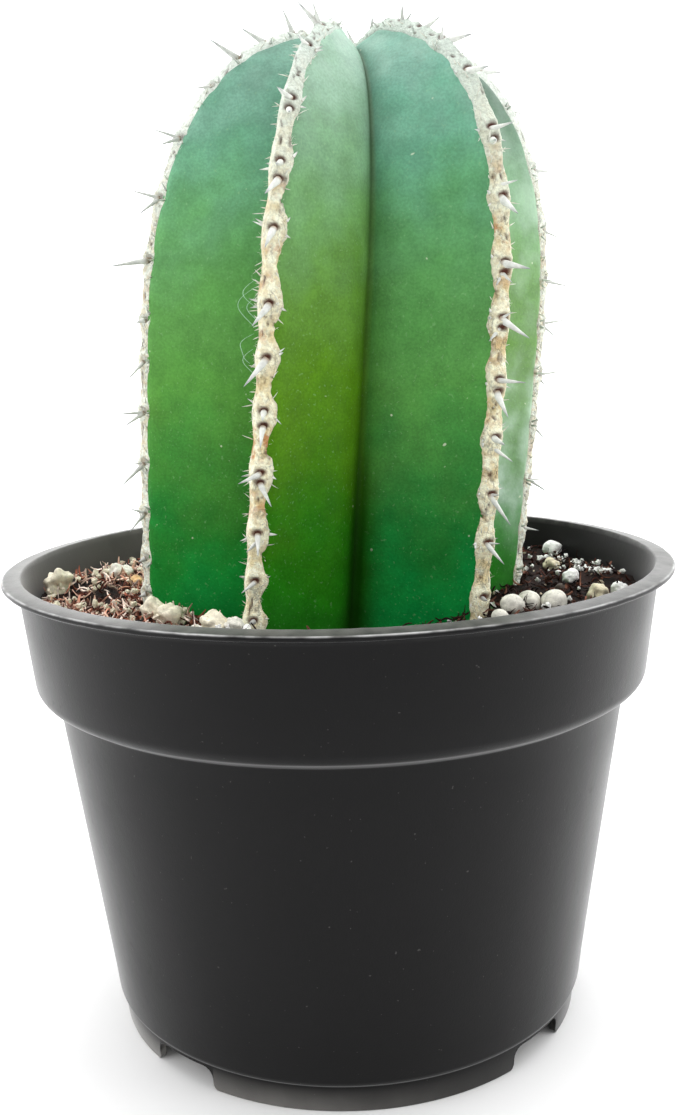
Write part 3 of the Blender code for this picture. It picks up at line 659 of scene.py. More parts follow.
@dataclass(frozen=True)
class StemSkin:
    """Waxy green skin: dark at the soil, paler towards the crown, with speckles, clouds, a mint bloom and
    painted light and shade.
    """

    roughness: float = 0.5
    gloss: float = 0.07
    # Both ramps run dark at the soil to pale at the crown: partly the skin's own colour, partly painted shade
    # low down.
    warm: tuple[tuple[float, Colour], ...] = stops(
        (0.0, 34, 120, 24), (0.07, 38, 132, 20), (0.15, 44, 118, 12), (0.24, 62, 118, 12),
        (0.40, 80, 126, 20), (0.56, 88, 132, 50), (0.66, 99, 144, 86), (0.82, 115, 154, 122),
        (0.95, 144, 174, 156), (1.0, 152, 180, 164))
    cool: tuple[tuple[float, Colour], ...] = stops(
        (0.0, 6, 146, 68), (0.07, 8, 150, 70), (0.15, 26, 124, 54), (0.24, 54, 130, 60),
        (0.40, 80, 144, 72), (0.56, 82, 142, 82), (0.66, 86, 146, 96), (0.80, 93, 156, 128),
        (0.90, 99, 157, 138), (1.0, 114, 164, 148))
    bloom: Colour = linear(206, 228, 214)
    # Colour of the painted shade along the valleys.
    crease: Colour = linear(20, 60, 3)
    speckle: Colour = linear(150, 186, 140)
    fleck: Colour = linear(225, 230, 205)

    def make(self, effects: Effects, form: StemForm) -> Material:
        """Builds the material.

        Args:
            effects: the shared node groups.
            form: the stem's form, for its heights.

        Returns:
            The material.
        """
        paint = Paint("stem_skin", effects)
        share = paint.span(paint.place(2), form.soil_level, form.crest_top, kind="LINEAR")
        drift = paint.cloud(70.0, 3.0, 0.3, 0.7)
        lifted = paint.math("ADD", share, paint.times(paint.math("SUBTRACT", drift, 0.5), 0.09))
        warmth = paint.math("ADD", paint.mark("warmth"), paint.times(drift, 0.12))
        # The painted valley shade also turns the green warmer.
        warmth = paint.math("ADD!", warmth, paint.mark("crease"))
        green = paint.mix(warmth, paint.ramp(lifted, self.cool), paint.ramp(lifted, self.warm))
        mottle = paint.cloud(210.0, 4.0, 0.32, 0.68, 3.0)
        green = paint.tint(green, mottle, 0.90, 1.11)
        green = paint.tint(green, paint.cloud(1900.0, 3.0, 0.34, 0.66, 7.0), 0.90, 1.09)
        green = paint.mix(paint.times(paint.cloud(1500.0, 2.0, 0.61, 0.72, 17.0), 0.22), green, self.speckle)
        patches = paint.cloud(120.0, 4.0, 0.35, 0.75, 11.0)
        high = paint.times(paint.span(share, 0.70, 1.02), paint.math("ADD", 0.25, patches), 0.24)
        beside = paint.times(paint.mark("bloom"), paint.math("ADD", 0.35, paint.times(patches, 0.95)))
        green = paint.mix(paint.math("ADD!", high, beside), green, self.bloom)
        green = paint.mix(paint.times(paint.cloud(620.0, 0.0, 0.83, 0.87, 19.0), 0.6), green, self.fleck)
        # Painted light and shade: each flank is made brighter or darker by its tone.
        green = paint.tint(green, 0.0, paint.mark("tone"), 1.0)
        # Painted shade: the valleys and the skin beside them are darkened towards the crease colour.
        green = paint.mix(paint.mark("crease"), green, self.crease)
        rough = paint.span(mottle, 0.0, 1.0, self.roughness - 0.05, self.roughness + 0.07, "LINEAR")
        return paint.finish(green, rough, self.gloss, (1500.0, 420.0, 0.9, 0.14 * MM, 0.55))


@dataclass
class Stem:
    """The six-ribbed column's skin, from its buried base to the sunk crown."""

    form: StemForm
    base_rows: int = 6
    shaft_rows: int = 92
    dome_rows: int = 112
    dome_end: float = 0.992
    crest_points: int = 3
    flank_points: int = 14
    swell: float = 0.28 * MM
    swell_size: float = 13.0 * MM
    ripple: float = 0.05 * MM
    ripple_size: float = 2.6 * MM
    top_shade_span: tuple[float, float] = (188.0 * MM, 218.0 * MM)
    low_span: tuple[float, float] = (112.0 * MM, 150.0 * MM)
    high_span: tuple[float, float] = (165.0 * MM, 205.0 * MM)
    # Painted shade along each valley: a dark line, wide low down and narrow higher up, and a broader soft
    # shade beside it.
    crease_shade_width_low: float = 4.2 * MM
    crease_shade_width_high: float = 0.75 * MM
    crease_shade_depth: float = 0.30
    crease_shade_depth_ends: float = 0.45
    shade_width: float = 5.0 * MM
    shade_depth: float = 0.17
    deepest_crease_shade: float = 0.93
    crease_shade_strengths: tuple[float, ...] = (0.15, 1.0, 0.8, 0.8, 0.8, 0.8)
    bloom_heights: tuple[float, ...] = (106.0, 114.0, 123.0, 135.0, 147.0, 158.0, 169.0, 180.0)
    bloom_shares: tuple[float, ...] = (0.1, 0.8, 2.4, 1.4, 1.9, 0.35, 0.7, 1.0)
    # Painted light and shade: tone makes each flank brighter or darker, and top sets its share towards the
    # crown.
    flanks: tuple[tuple[Flank, Flank], ...] = (
        (Flank(0.9, 0.4, 0.0), Flank(1.05, 0.34, -0.12, 0.80)),
        (Flank(0.95, 0.5, 0.0), Flank(1.0, 1.0, 0.0)),
        (Flank(0.95, 0.12, 0.0), Flank(0.95, 0.5, 0.1)),
        (Flank(1.05, 1.0, 0.31, 0.42), Flank(0.95, 0.5, 0.1)),
        (Flank(0.95, 0.4, 0.0), Flank(0.95, 0.5, 0.0)),
        (Flank(0.95, 0.4, 0.0), Flank(0.95, 0.4, 0.0)))

    def build(self, effects: Effects) -> None:
        """Builds the skin and hands it over.

        Args:
            effects: the shared node groups.
        """
        form = self.form
        rows = form.rows(self.base_rows, self.shaft_rows, self.dome_rows, self.dome_end)
        parts = [self._rib(rows, rib) for rib in range(len(form.azimuths))]
        points, shares = (np.concatenate([part[index] for part in parts], axis=1) for index in (0, 1))
        marks = {key: np.concatenate([part[2][key] for part in parts], axis=1) for key in parts[0][2]}
        middle = form.axis(form.widest_radius, points[..., 2])
        outward = unit(np.stack([points[..., 0] - middle, points[..., 1], 0.0 * middle], axis=-1))
        room = smooth_step(0.0, 0.35, shares) * (1.0 - smooth_step(0.86, 1.0, shares))
        lift = self.swell * noise_at(points, self.swell_size)
        lift += self.ripple * noise_at(points, self.ripple_size, 5.0)
        points = points + outward * (lift * room)[..., None]
        ends = (np.array([form.axis(rows[0, 0], rows[0, 1]), 0.0, form.base]),
                np.array([form.axis(0.0, form.crest_top), 0.0, form.crown_floor]))
        skin = grid_piece("stem_skin", points, marks, ends)
        hand_over(skin, StemSkin().make(effects, form), "stem")

    def _rib(self, rows: Array, rib: int) -> tuple[Array, Array, Marks]:
        """Gives one rib's columns, from just after the valley before it to the valley after it.

        Args:
            rows: crest and valley radii and heights.
            rib: which rib.

        Returns:
            Points, their shares of the way from the crest, 0, to the valley, 1, and the material's marks.
        """
        form = self.form
        crest_r, crest_z, valley_r, valley_z = rows.T
        along = unit(np.stack([np.gradient(crest_r), np.gradient(crest_z)], axis=-1))
        normal_up, normal_out = -along[:, 0], along[:, 1]
        side_width = form.crest_half_width * np.minimum(1.0, crest_r / form.crown_edge_radius)
        drop = side_width * form.crest_slope(crest_r)
        azimuth = form.azimuth(rib, crest_z)
        tip = crest_r * form.reaches[rib]
        halves = []
        for side, valley_index in ((-1.0, rib - 1), (1.0, rib)):
            half = []
            for share in np.arange(1, self.crest_points + 1) / self.crest_points:
                fallen = drop * share ** 2
                half.append((tip - fallen * normal_out, side * side_width * share,
                             crest_z - fallen * normal_up, 0.0))
            *edge, edge_z, _ = half[-1]
            edge = np.stack(edge, axis=-1)
            angle = form.valley(valley_index, crest_z) - azimuth
            fall = np.stack([valley_r * np.cos(angle), valley_r * np.sin(angle)], axis=-1) - edge
            outward = unit(np.stack([fall[:, 1], -fall[:, 0]], axis=-1)) * side
            bulge = (form.flank_bulges[valley_index] * crest_r / form.widest_radius)[:, None]
            for share in np.arange(1, self.flank_points + 1) / self.flank_points:
                lift = math.sin(math.pi * share ** form.flank_bulge_places[valley_index])
                place = edge + fall * share + outward * bulge * lift
                half.append((*place.T, edge_z + (valley_z - edge_z) * share, share))
            halves.append(half)
        columns = halves[0][-2::-1] + [(tip, 0.0 * tip, crest_z, 0.0)] + halves[1]
        out, aside, height = (np.stack([column[part] for column in columns], axis=1) for part in range(3))
        turn = azimuth[:, None]
        points = around(turn, out, height) + around(turn + np.pi / 2, aside)
        points[..., 0] += form.axis(crest_r, crest_z)[:, None]
        shares = np.array([column[3] for column in columns])
        sides = np.arange(len(columns)) >= len(halves[0]) - 1
        return points, shares + 0.0 * out, self._marks(points, rib, shares, sides.astype(int))

    def _marks(self, points: Array, rib: int, shares: Array, sides: Array) -> Marks:
        """Gives a rib's values for the skin's material.

        Args:
            points: the rib's points, rows by columns.
            rib: which rib.
            shares: for each column, 0 on the crest to 1 in the valley.
            sides: for each column, 0 on the rib's left side and 1 on its right.

        Returns:
            Tone, warmth, bloom and crease shade, rows by columns each; tone and crease shade are painted
            light and shade.
        """
        rise = points[..., 2]
        here = self.flanks[rib]
        after = self.flanks[(rib + 1) % len(self.flanks)][0]
        marks = {}
        for key in ("tone", "warmth", "bloom"):
            value = np.array([getattr(here[side], key) for side in sides])
            value[-1] = (value[-1] + getattr(after, key)) / 2.0
            marks[key] = value + 0.0 * rise
        # Painted shade: towards the crown each flank's tone falls to its top share.
        top_shades = np.array([here[side].top for side in sides])
        marks["tone"] *= 1.0 + (top_shades - 1.0) * smooth_step(*self.top_shade_span, rise)
        marks["bloom"] *= np.interp(rise / MM, self.bloom_heights, self.bloom_shares)
        # Painted shade along the valley: a dark line and a broader soft shade beside it.
        crest, valley = points[:, len(shares) // 2], points[:, -1]
        nearest = (1.0 - shares) * np.linalg.norm(valley - crest, axis=-1)[:, None]
        low = 1.0 - smooth_step(*self.low_span, valley[:, 2:])
        high = smooth_step(*self.high_span, valley[:, 2:])
        width = self.crease_shade_width_high + (self.crease_shade_width_low - self.crease_shade_width_high) * low
        depth = self.crease_shade_depth + self.crease_shade_depth_ends * np.maximum(low, high)
        line = depth * np.exp(-(nearest / width) ** 2)
        shade = self.shade_depth * (1.0 - high) * np.exp(-(nearest / self.shade_width) ** 2)
        strength = np.array([self.crease_shade_strengths[rib - 1], self.crease_shade_strengths[rib]])[sides]
        marks["crease"] = np.clip(strength * (line + shade), 0.0, self.deepest_crease_shade)
        return marks


@dataclass(frozen=True)
class Areoles:
    """Where the areoles sit on each rib, in millimetres run from the crown along its crest."""

    seen: tuple[tuple[float, ...], ...] = (
        (5.5, 11, 17.5, 24.5, 33, 46, 59.5, 73, 86, 95, 106.5, 118, 129.5, 140, 148.5),
        (5, 11.5, 19, 29, 43.5, 57, 70, 84.5, 95, 105.5, 118, 130.5, 140.5, 149),
        (6, 11, 16, 21.5, 28, 37.5, 51, 65, 78, 89, 101.5, 113.5, 125.5, 136, 148),
        (6, 11, 17, 23.5, 31, 41.5, 56, 69.5, 81, 91, 103, 115, 128, 140, 151))
    pitch: float = 12.0 * MM
    crowding: float = 0.6
    crowding_reach: float = 2.0
    first: tuple[float, ...] = (5.6 * MM, 7.2 * MM)
    lowest_above_end: float = 7.1 * MM
    youngest_share: float = 0.62
    growth: float = 0.065

    def places(self, line: CrestLine) -> list[float]:
        """Gives a rib's areoles as lengths run from the crown.

        Args:
            line: the rib's crest.

        Returns:
            The lengths, by rule on the ribs that the photograph doesn't show.
        """
        if line.rib < len(self.seen):
            return [place * MM for place in self.seen[line.rib]]
        places = []
        length = self.first[line.rib - len(self.seen)]
        while length < line.total - self.lowest_above_end:
            places.append(length)
            length += self.pitch * (1.0 - self.crowding * math.exp(-len(places) / self.crowding_reach))
        return places

    def share(self, index: int) -> float:
        """Gives an areole's size as a share of a grown one's."""
        return min(1.0, self.youngest_share + self.growth * index)


@dataclass(frozen=True)
class Wool:
    """Dense cream wool, whiter towards the crown, with rusty stains, dark slits, red-brown pits, painted
    shade along its edges and a painted glow low down.
    """

    roughness: float = 0.92
    gloss: float = 0.12
    sheen: float = 0.25
    # Strength of a painted glow that lifts the wool low down.
    painted_glow_strength: float = 0.23
    bend: float = 1.6 * MM
    cream: Colour = linear(242, 242, 216)
    young: Colour = linear(206, 217, 207)
    # Colour of the painted shade along the band's edges.
    edge: Colour = linear(122, 108, 76)
    pale_outline: Colour = linear(222, 229, 220)
    old: Colour = linear(224, 210, 166)
    tanned: Colour = linear(200, 176, 126)
    stain: Colour = linear(176, 104, 36)
    slit: Colour = linear(70, 46, 32)
    pit: Colour = linear(76, 34, 24)
    speck: Colour = linear(120, 92, 62)

    def make(self, effects: Effects, form: StemForm) -> Material:
        """Builds the material.

        Args:
            effects: the shared node groups.
            form: the stem's form, for its heights.

        Returns:
            The material.
        """
        paint = Paint("felt_wool", effects)
        share = paint.span(paint.place(2), form.soil_level, form.crest_top, kind="LINEAR")
        grown = paint.span(share, 0.55, 0.95, 1.0, 0.0)
        aged = paint.math("ADD", 0.15, paint.mark("neck"))
        aged = paint.math("MULTIPLY!", paint.cloud(380.0, 3.0, 0.38, 0.62), aged)
        stained = paint.math("MULTIPLY!", paint.mark("stain"), paint.cloud(430.0, 4.0, 0.44, 0.60, 5.0))
        specks = paint.times(paint.cloud(1250.0, 2.0, 0.63, 0.70, 9.0), 0.5, grown)
        wool = paint.mix(grown, self.young, paint.mix(aged, self.cream, self.old))
        # Paler felt on the two ribs at the outline.
        for mask, colour in ((paint.times(paint.mark("outline_pale"), 0.8), self.pale_outline), (stained, self.stain),
                             (specks, self.speck)):
            wool = paint.mix(mask, wool, colour)
        wool = paint.tint(wool, paint.cloud(1700.0, 4.0, 0.36, 0.62, 2.0), 0.86, 1.09)
        tanned = paint.times(paint.cloud(820.0, 3.0, 0.44, 0.62, 25.0), grown, 0.42)
        wool = paint.mix(tanned, wool, self.tanned)
        lines = paint.times(self._lines(paint), paint.cloud(330.0, 2.0, 0.46, 0.58, 14.0), grown)
        wool = paint.tint(wool, lines, 1.0, 0.56)
        # Painted shade along the band's edges, then the slits and the pits.
        for mask, colour in ((paint.times(paint.mark("edge"), grown, 0.5), self.edge),
                             (paint.mark("slit"), self.slit), (paint.mark("pit"), self.pit)):
            wool = paint.mix(mask, wool, colour)
        # Painted light: the wool glows with its own colour, most near the soil and not at all above
        # mid-height.
        glow = paint.tint(wool, paint.span(share, 0.0, 0.6, 1.0, 0.0), 0.0, 1.0)
        others = {"Emission Color": glow, "Emission Strength": self.painted_glow_strength, "Sheen Weight": self.sheen}
        return paint.finish(wool, self.roughness, self.gloss, (3400.0, 1200.0, 0.9, 0.40 * MM, 1.0), others)

    def _lines(self, paint: Paint) -> Socket:
        """Gives thin crooked upright lines between matted hairs: 1 on a line and 0 beside it.

        Args:
            paint: the material's sheet.

        Returns:
            The mask's socket.
        """
        place = paint.place()
        bend = paint.add("TexNoise", {"Vector": place, "Scale": 900.0, "Detail": 2.0}).outputs["Color"]
        bend = paint.vector("SUBTRACT", {0: bend, 1: (0.5, 0.5, 0.5)})
        bend = paint.vector("SCALE", {0: bend, 3: self.bend})
        tall = paint.vector("MULTIPLY", {0: paint.vector("ADD", {0: place, 1: bend}), 1: (1.0, 1.0, 0.28)})
        cells = paint.add("TexVoronoi", {"Vector": tall, "Scale": 780.0}, feature="DISTANCE_TO_EDGE")
        return paint.span(cells.outputs["Distance"], 0.0, 0.13, 1.0, 0.0)


@dataclass
class Strip:
    """A band of felt at some lengths of its crest, for all that is laid on it or stands in it."""

    point: Array
    down: Array
    sideways: Array
    normal: Array
    half: Array
    high: Array
    slope: Array
    shift: Array


@dataclass
class Felt:
    """The bands of wool on the six crests, with their mounds at the areoles, and the crown's tuft."""

    form: StemForm
    areoles: Areoles
    spines: Spines
    mound_half_width: float = 3.25 * MM
    mound_height: float = 1.45 * MM
    neck_half_width: float = 2.2 * MM
    neck_widening: float = 0.06
    neck_widening_end: float = 60.0 * MM
    neck_height: float = 0.9 * MM
    start_share: float = 0.75
    end_share: float = 0.6
    side_shifts: tuple[float, ...] = (-1.5 * MM, -0.8 * MM, 0.8 * MM, 1.0 * MM, 0.0, 0.0)
    raises: tuple[float, ...] = (0.25 * MM, 0.3 * MM, 0.85 * MM, 0.75 * MM, 0.1 * MM, 0.1 * MM)
    evenness: tuple[float, ...] = (0.0, 0.0, 0.4, 0.25, 0.0, 0.0)
    grown_span: tuple[float, float] = (12.0 * MM, 42.0 * MM)
    ragged_span: tuple[float, float] = (22.0 * MM, 60.0 * MM)
    edge_noise: tuple[tuple[float, float, float], ...] = ((0.14, 3.4 * MM, 3.0), (0.06, 0.9 * MM, 8.0))
    lumps: tuple[tuple[float, float, float], ...] = ((0.25 * MM, 1.9 * MM, 21.0), (0.13 * MM, 0.7 * MM, 27.0))
    flank_fall: float = 3.6
    slit_depth: float = 0.35 * MM
    slit_sizes: tuple[tuple[float, float], ...] = ((-1.3, 1.3), (0.35, 1.5), (0.11, 0.19))
    slit_lean: float = 0.45
    wide_gap: float = 8.0 * MM
    pit_rise: float = 0.35 * MM
    pit_half_height: float = 0.85 * MM
    pit_half_width: float = 1.02 * MM
    pit_depth: float = 0.6 * MM
    pit_rim: float = 0.22 * MM
    # The two ribs at the outline get paler felt, with fewer stains and pits.
    pale_outline_ribs: tuple[int, ...] = (0, 3)
    pale_outline_stain: float = 0.35
    pale_outline_pit: float = 0.4
    neck_span: tuple[float, float] = (1.8 * MM, 4.6 * MM)
    stain_spans: tuple[tuple[float, float], ...] = ((112.0 * MM, 138.0 * MM), (176.0 * MM, 206.0 * MM))
    stain_size: float = 6.0 * MM
    row_step: float = 0.36 * MM
    top_points: int = 15
    sink: float = 0.25 * MM
    thickness: float = 0.6 * MM
    fibre_length: float = 0.85 * MM
    fibre_radius: float = 0.045 * MM
    bristle_length: float = 1.9 * MM
    bristle_radius: float = 0.16 * MM
    bristle_every: int = 4
    fibres_per_rib: int = 400
    fibre_end: float = 4.0 * MM
    seed: int = 11

    def build(self, effects: Effects) -> None:
        """Builds the felt and hands it over.

        Args:
            effects: the shared node groups.
        """
        draw = random.Random(self.seed)
        bands = [self._band(CrestLine(self.form, rib), draw) for rib in range(len(self.form.azimuths))]
        felt = join(bands + [self._crown_tuft()], "rib_felt")
        hand_over(felt, Wool().make(effects, self.form), "felt_and_spines")

    def _strip(self, line: CrestLine, lengths: Array) -> Strip:
        """Reads a rib's band of felt.

        Args:
            line: the rib's crest.
            lengths: where to read it.

        Returns:
            The band at these lengths.
        """
        knots = [(0.0, self.neck_half_width * self.start_share, self.neck_height)]
        before = None
        for index, place in enumerate(self.areoles.places(line)):
            share = self.areoles.share(index)
            if index:
                middle = (before + place) / 2.0
                wider = 1.0 + self.neck_widening * max(0.0, 1.0 - middle / self.neck_widening_end)
                knots.append((middle, self.neck_half_width * wider, self.neck_height))
            knots.append((place, self.mound_half_width * share, self.mound_height * share))
            before = place
        knots.append((line.total, self.neck_half_width, self.neck_height * self.end_share))
        knots = np.array(knots)
        index = np.clip(np.searchsorted(knots[:, 0], lengths, side="right") - 1, 0, len(knots) - 2)
        low, high = knots[index], knots[index + 1]
        run = (lengths - low[:, 0]) / (high[:, 0] - low[:, 0])
        _, half, rise = (low + (high - low) * (0.5 - 0.5 * np.cos(np.pi * run))[:, None]).T
        grown = smooth_step(*self.grown_span, lengths)
        even = (self.neck_half_width + self.mound_half_width) / 2.0
        half = half + (even - half) * grown * self.evenness[line.rib]
        point, down, sideways, normal = line.place(lengths)
        crown = self.form.axis(0.0, self.form.crest_top)
        slope = self.form.crest_slope(np.hypot(point[:, 0] - crown, point[:, 1]))
        return Strip(point, down, sideways, normal, half, rise + self.raises[line.rib], slope,
                     self.side_shifts[line.rib] * grown)

    def _surface(self, across: Array, strip: Strip, body: Array) -> Array:
        """Gives the felt's height over the crest: its rounded body, and at its edges the skin below it.

        Args:
            across: places across the crest, with a strip's rows along the last axis.
            strip: the band.
            body: the band's fullness there, 1 in its middle and 0 at its edges.

        Returns:
            The heights.
        """
        width = self.form.crest_half_width
        side = np.maximum(np.abs(across) - width, 0.0)
        skin = -strip.slope * (np.minimum(np.abs(across), width) + self.flank_fall * side)
        return skin * (1.0 - body) + (strip.high - strip.slope * np.abs(across - strip.shift)) * body

    @staticmethod
    def _body(share: Number) -> Number:
        """Gives the band's fullness at a share of its half width."""
        return (1.0 - np.abs(share) ** 2.6) ** 0.8

    def _band(self, line: CrestLine, draw: random.Random) -> Piece:
        """Builds one rib's band of felt.

        Args:
            line: the rib's crest.
            draw: source of chance.

        Returns:
            The band.
        """
        places = self.areoles.places(line)
        lengths = np.linspace(0.0, line.total, int(line.total / self.row_step))
        run = lengths[:, None]
        strip = self._strip(line, lengths)
        point, shift = strip.point, strip.shift[:, None]
        shares = np.linspace(-1.0, 1.0, self.top_points)
        ragged = 0.35 + 0.65 * smooth_step(*self.ragged_span, lengths)
        left, right = (strip.half * (1.0 + ragged * sum(depth * noise_at(point, size, seed + other)
                                                        for depth, size, seed in self.edge_noise))
                       for other in (0.0, 10.0))
        across = np.where(shares < 0.0, left[:, None], right[:, None]) * shares + shift
        surface = point[:, None] + strip.sideways[:, None] * across[..., None]
        body = self._body(shares)
        out = self._surface(across.T, strip, body[:, None]).T
        lumps = sum(depth * noise_at(surface, size, seed) for depth, size, seed in self.lumps)
        out += lumps * (0.35 + 0.65 * body)
        slit, pit = np.zeros(out.shape), np.zeros(out.shape)
        for place, following in zip(places, places[1:] + [places[-1] + self.areoles.pitch]):
            gap = following - place
            for _ in range(draw.choice((2, 3, 3)) if gap > self.wide_gap else draw.choice((0, 1, 1))):
                along = run - (place + gap * draw.uniform(0.25, 0.75))
                middle, half_length, half_width = (draw.uniform(*size) * MM for size in self.slit_sizes)
                aside = across - middle - draw.uniform(-self.slit_lean, self.slit_lean) * along
                shape = np.exp(-(along / half_length) ** 4 - (aside / half_width) ** 2)
                out -= self.slit_depth * shape
                slit = np.maximum(slit, shape)
        for root in self.spines.roots(line.rib, places):
            upright = (run - root + self.pit_rise) / self.pit_half_height
            reach = np.hypot(upright, across / self.pit_half_width)
            out += self.pit_rim * np.exp(-((reach - 1.5) / 0.4) ** 2) - self.pit_depth * np.exp(-reach ** 4)
            pit = np.maximum(pit, np.exp(-(reach / 1.02) ** 6))
        out -= self.sink * (1.0 - body)
        nearest = np.min(np.abs(run - np.array(places)), axis=1)
        between = smooth_step(*self.neck_span, nearest)[:, None] + 0.0 * out
        rising, falling = (smooth_step(*span, surface[..., 2]) for span in self.stain_spans)
        patchy = np.clip(0.45 + 1.3 * noise_at(surface, self.stain_size, 33.0), 0.0, 1.3)
        stain = np.clip((0.06 + 0.85 * between) * (0.12 + rising * (1.0 - falling)) * patchy, 0.0, 0.9)
        pale_outline = line.rib in self.pale_outline_ribs
        stain_share, pit_share = (self.pale_outline_stain, self.pale_outline_pit) if pale_outline else (1.0, 1.0)
        # The edge mark places painted shade along the band's edges.
        marks = {"neck": between, "stain": stain * stain_share, "slit": slit, "pit": pit * pit_share,
                 "outline_pale": np.full(out.shape, float(pale_outline)),
                 "edge": smooth_step(0.76, 1.0, np.abs(shares)) + 0.0 * out}
        surface = surface + strip.normal[:, None] * out[..., None]
        across = np.stack([right * 0.5, -left * 0.5], axis=1) + shift
        fallen = self.thickness + np.abs(across) * strip.slope[:, None]
        under = point[:, None] + strip.sideways[:, None] * across[..., None]
        under -= strip.normal[:, None] * fallen[..., None]
        points = np.concatenate([surface, under], axis=1)
        marks = {key: np.pad(value, ((0, 0), (0, 2))) for key, value in marks.items()}
        ends = (points[0].mean(axis=0), points[-1].mean(axis=0))
        return grid_piece(f"band_{line.rib}", points, marks, ends)

    def _crown_tuft(self) -> Piece:
        """Builds the tuft of wool in the crown.

        Returns:
            The tuft.
        """
        form = self.form
        turn = np.linspace(0.0, TAU, 48, endpoint=False)[None, :]
        share = np.linspace(0.0, 1.0, 14)[:, None] + 0.0 * turn
        radius = form.wool_radius * np.sin(share * np.pi / 2)
        points = around(turn, radius, form.crown_floor + form.wool_height * np.cos(share * np.pi / 2))
        points[..., 0] += form.axis(0.0, form.crest_top)
        points[..., 2] += 0.35 * MM * noise_at(points, 1.1 * MM, 41.0) * (radius > 0.0)
        low = points[-1:].copy()
        low[..., 2] = form.crown_floor - 0.8 * MM
        points = np.concatenate([points, low, np.broadcast_to(low.mean(axis=1, keepdims=True), low.shape)])
        keys = ("neck", "stain", "slit", "pit", "outline_pale", "edge")
        return grid_piece("crown_tuft", points, {key: np.zeros(points.shape[:2]) for key in keys})

    def build_fibres(self, effects: Effects) -> None:
        """Builds the loose fibres and bristles that stand out of the felt's edges, and hands them over.

        Args:
            effects: the shared node groups.
        """
        draw = random.Random(self.seed + 1)
        spikes = Copies(turned("fibre", ((1.0, 0.0), (0.7, 0.5), (0.08, 1.0)), 3, True))
        for rib in range(len(self.form.azimuths)):
            line = CrestLine(self.form, rib)
            last = line.total - self.fibre_end
            lengths = np.array([draw.uniform(0.5 * MM, last) for _ in range(self.fibres_per_rib)])
            strip = self._strip(line, lengths)
            shares, aims, sizes = [], [], []
            for index in range(self.fibres_per_rib):
                share = draw.choice((-1.0, 1.0)) * draw.uniform(0.55, 0.96)
                shares.append(share)
                aim = strip.sideways[index] * share * draw.uniform(0.5, 1.2)
                aim = aim + strip.normal[index] * draw.uniform(0.1, 0.9)
                aims.append(aim + strip.down[index] * draw.uniform(-0.9, 0.9))
                stiff = index % self.bristle_every == 0
                sizes.append(((self.bristle_length if stiff else self.fibre_length) * draw.uniform(0.5, 1.3),
                              (self.bristle_radius if stiff else self.fibre_radius) * draw.uniform(0.8, 1.2),
                              draw.uniform(-0.3, 0.3)))
            shares = np.array(shares)
            across = strip.half * shares + strip.shift
            lift = self._surface(across, strip, self._body(shares)) - 0.1 * MM
            roots = strip.point + strip.sideways * across[:, None] + strip.normal * lift[:, None]
            for root, aim, size in zip(roots, aims, sizes):
                spikes.plant(root, aim, *size)
        hand_over(spikes.finish("felt_fibres"), Fluff().make(effects), "felt_and_spines")


def turned(name: str, profile: Profile, segments: int, capped: bool) -> Piece:
    """Models a turned shape: a circle extruded upward, ring by ring, and resized to its profile.

    Args:
        name: the shape's name.
        profile: radius and height of each ring.
        segments: sides of the circle.
        capped: whether the first and last rings are closed with a face.

    Returns:
        The shape.
    """
    select()
    radius, height = profile[0]
    bpy.ops.mesh.primitive_circle_add(vertices=segments, radius=radius, location=(0.0, 0.0, height),
                                      fill_type="NGON" if capped else "NOTHING")
    edit_all(bpy.context.object)
    for next_radius, next_height in profile[1:]:
        bpy.ops.mesh.extrude_region_move(TRANSFORM_OT_translate={"value": (0.0, 0.0, next_height - height)})
        scale = next_radius / radius
        bpy.ops.transform.resize(value=(scale, scale, 1.0), center_override=(0.0, 0.0, next_height))
        radius, height = next_radius, next_height
    bpy.ops.object.mode_set(mode="OBJECT")
    return settle(bpy.context.object, name)


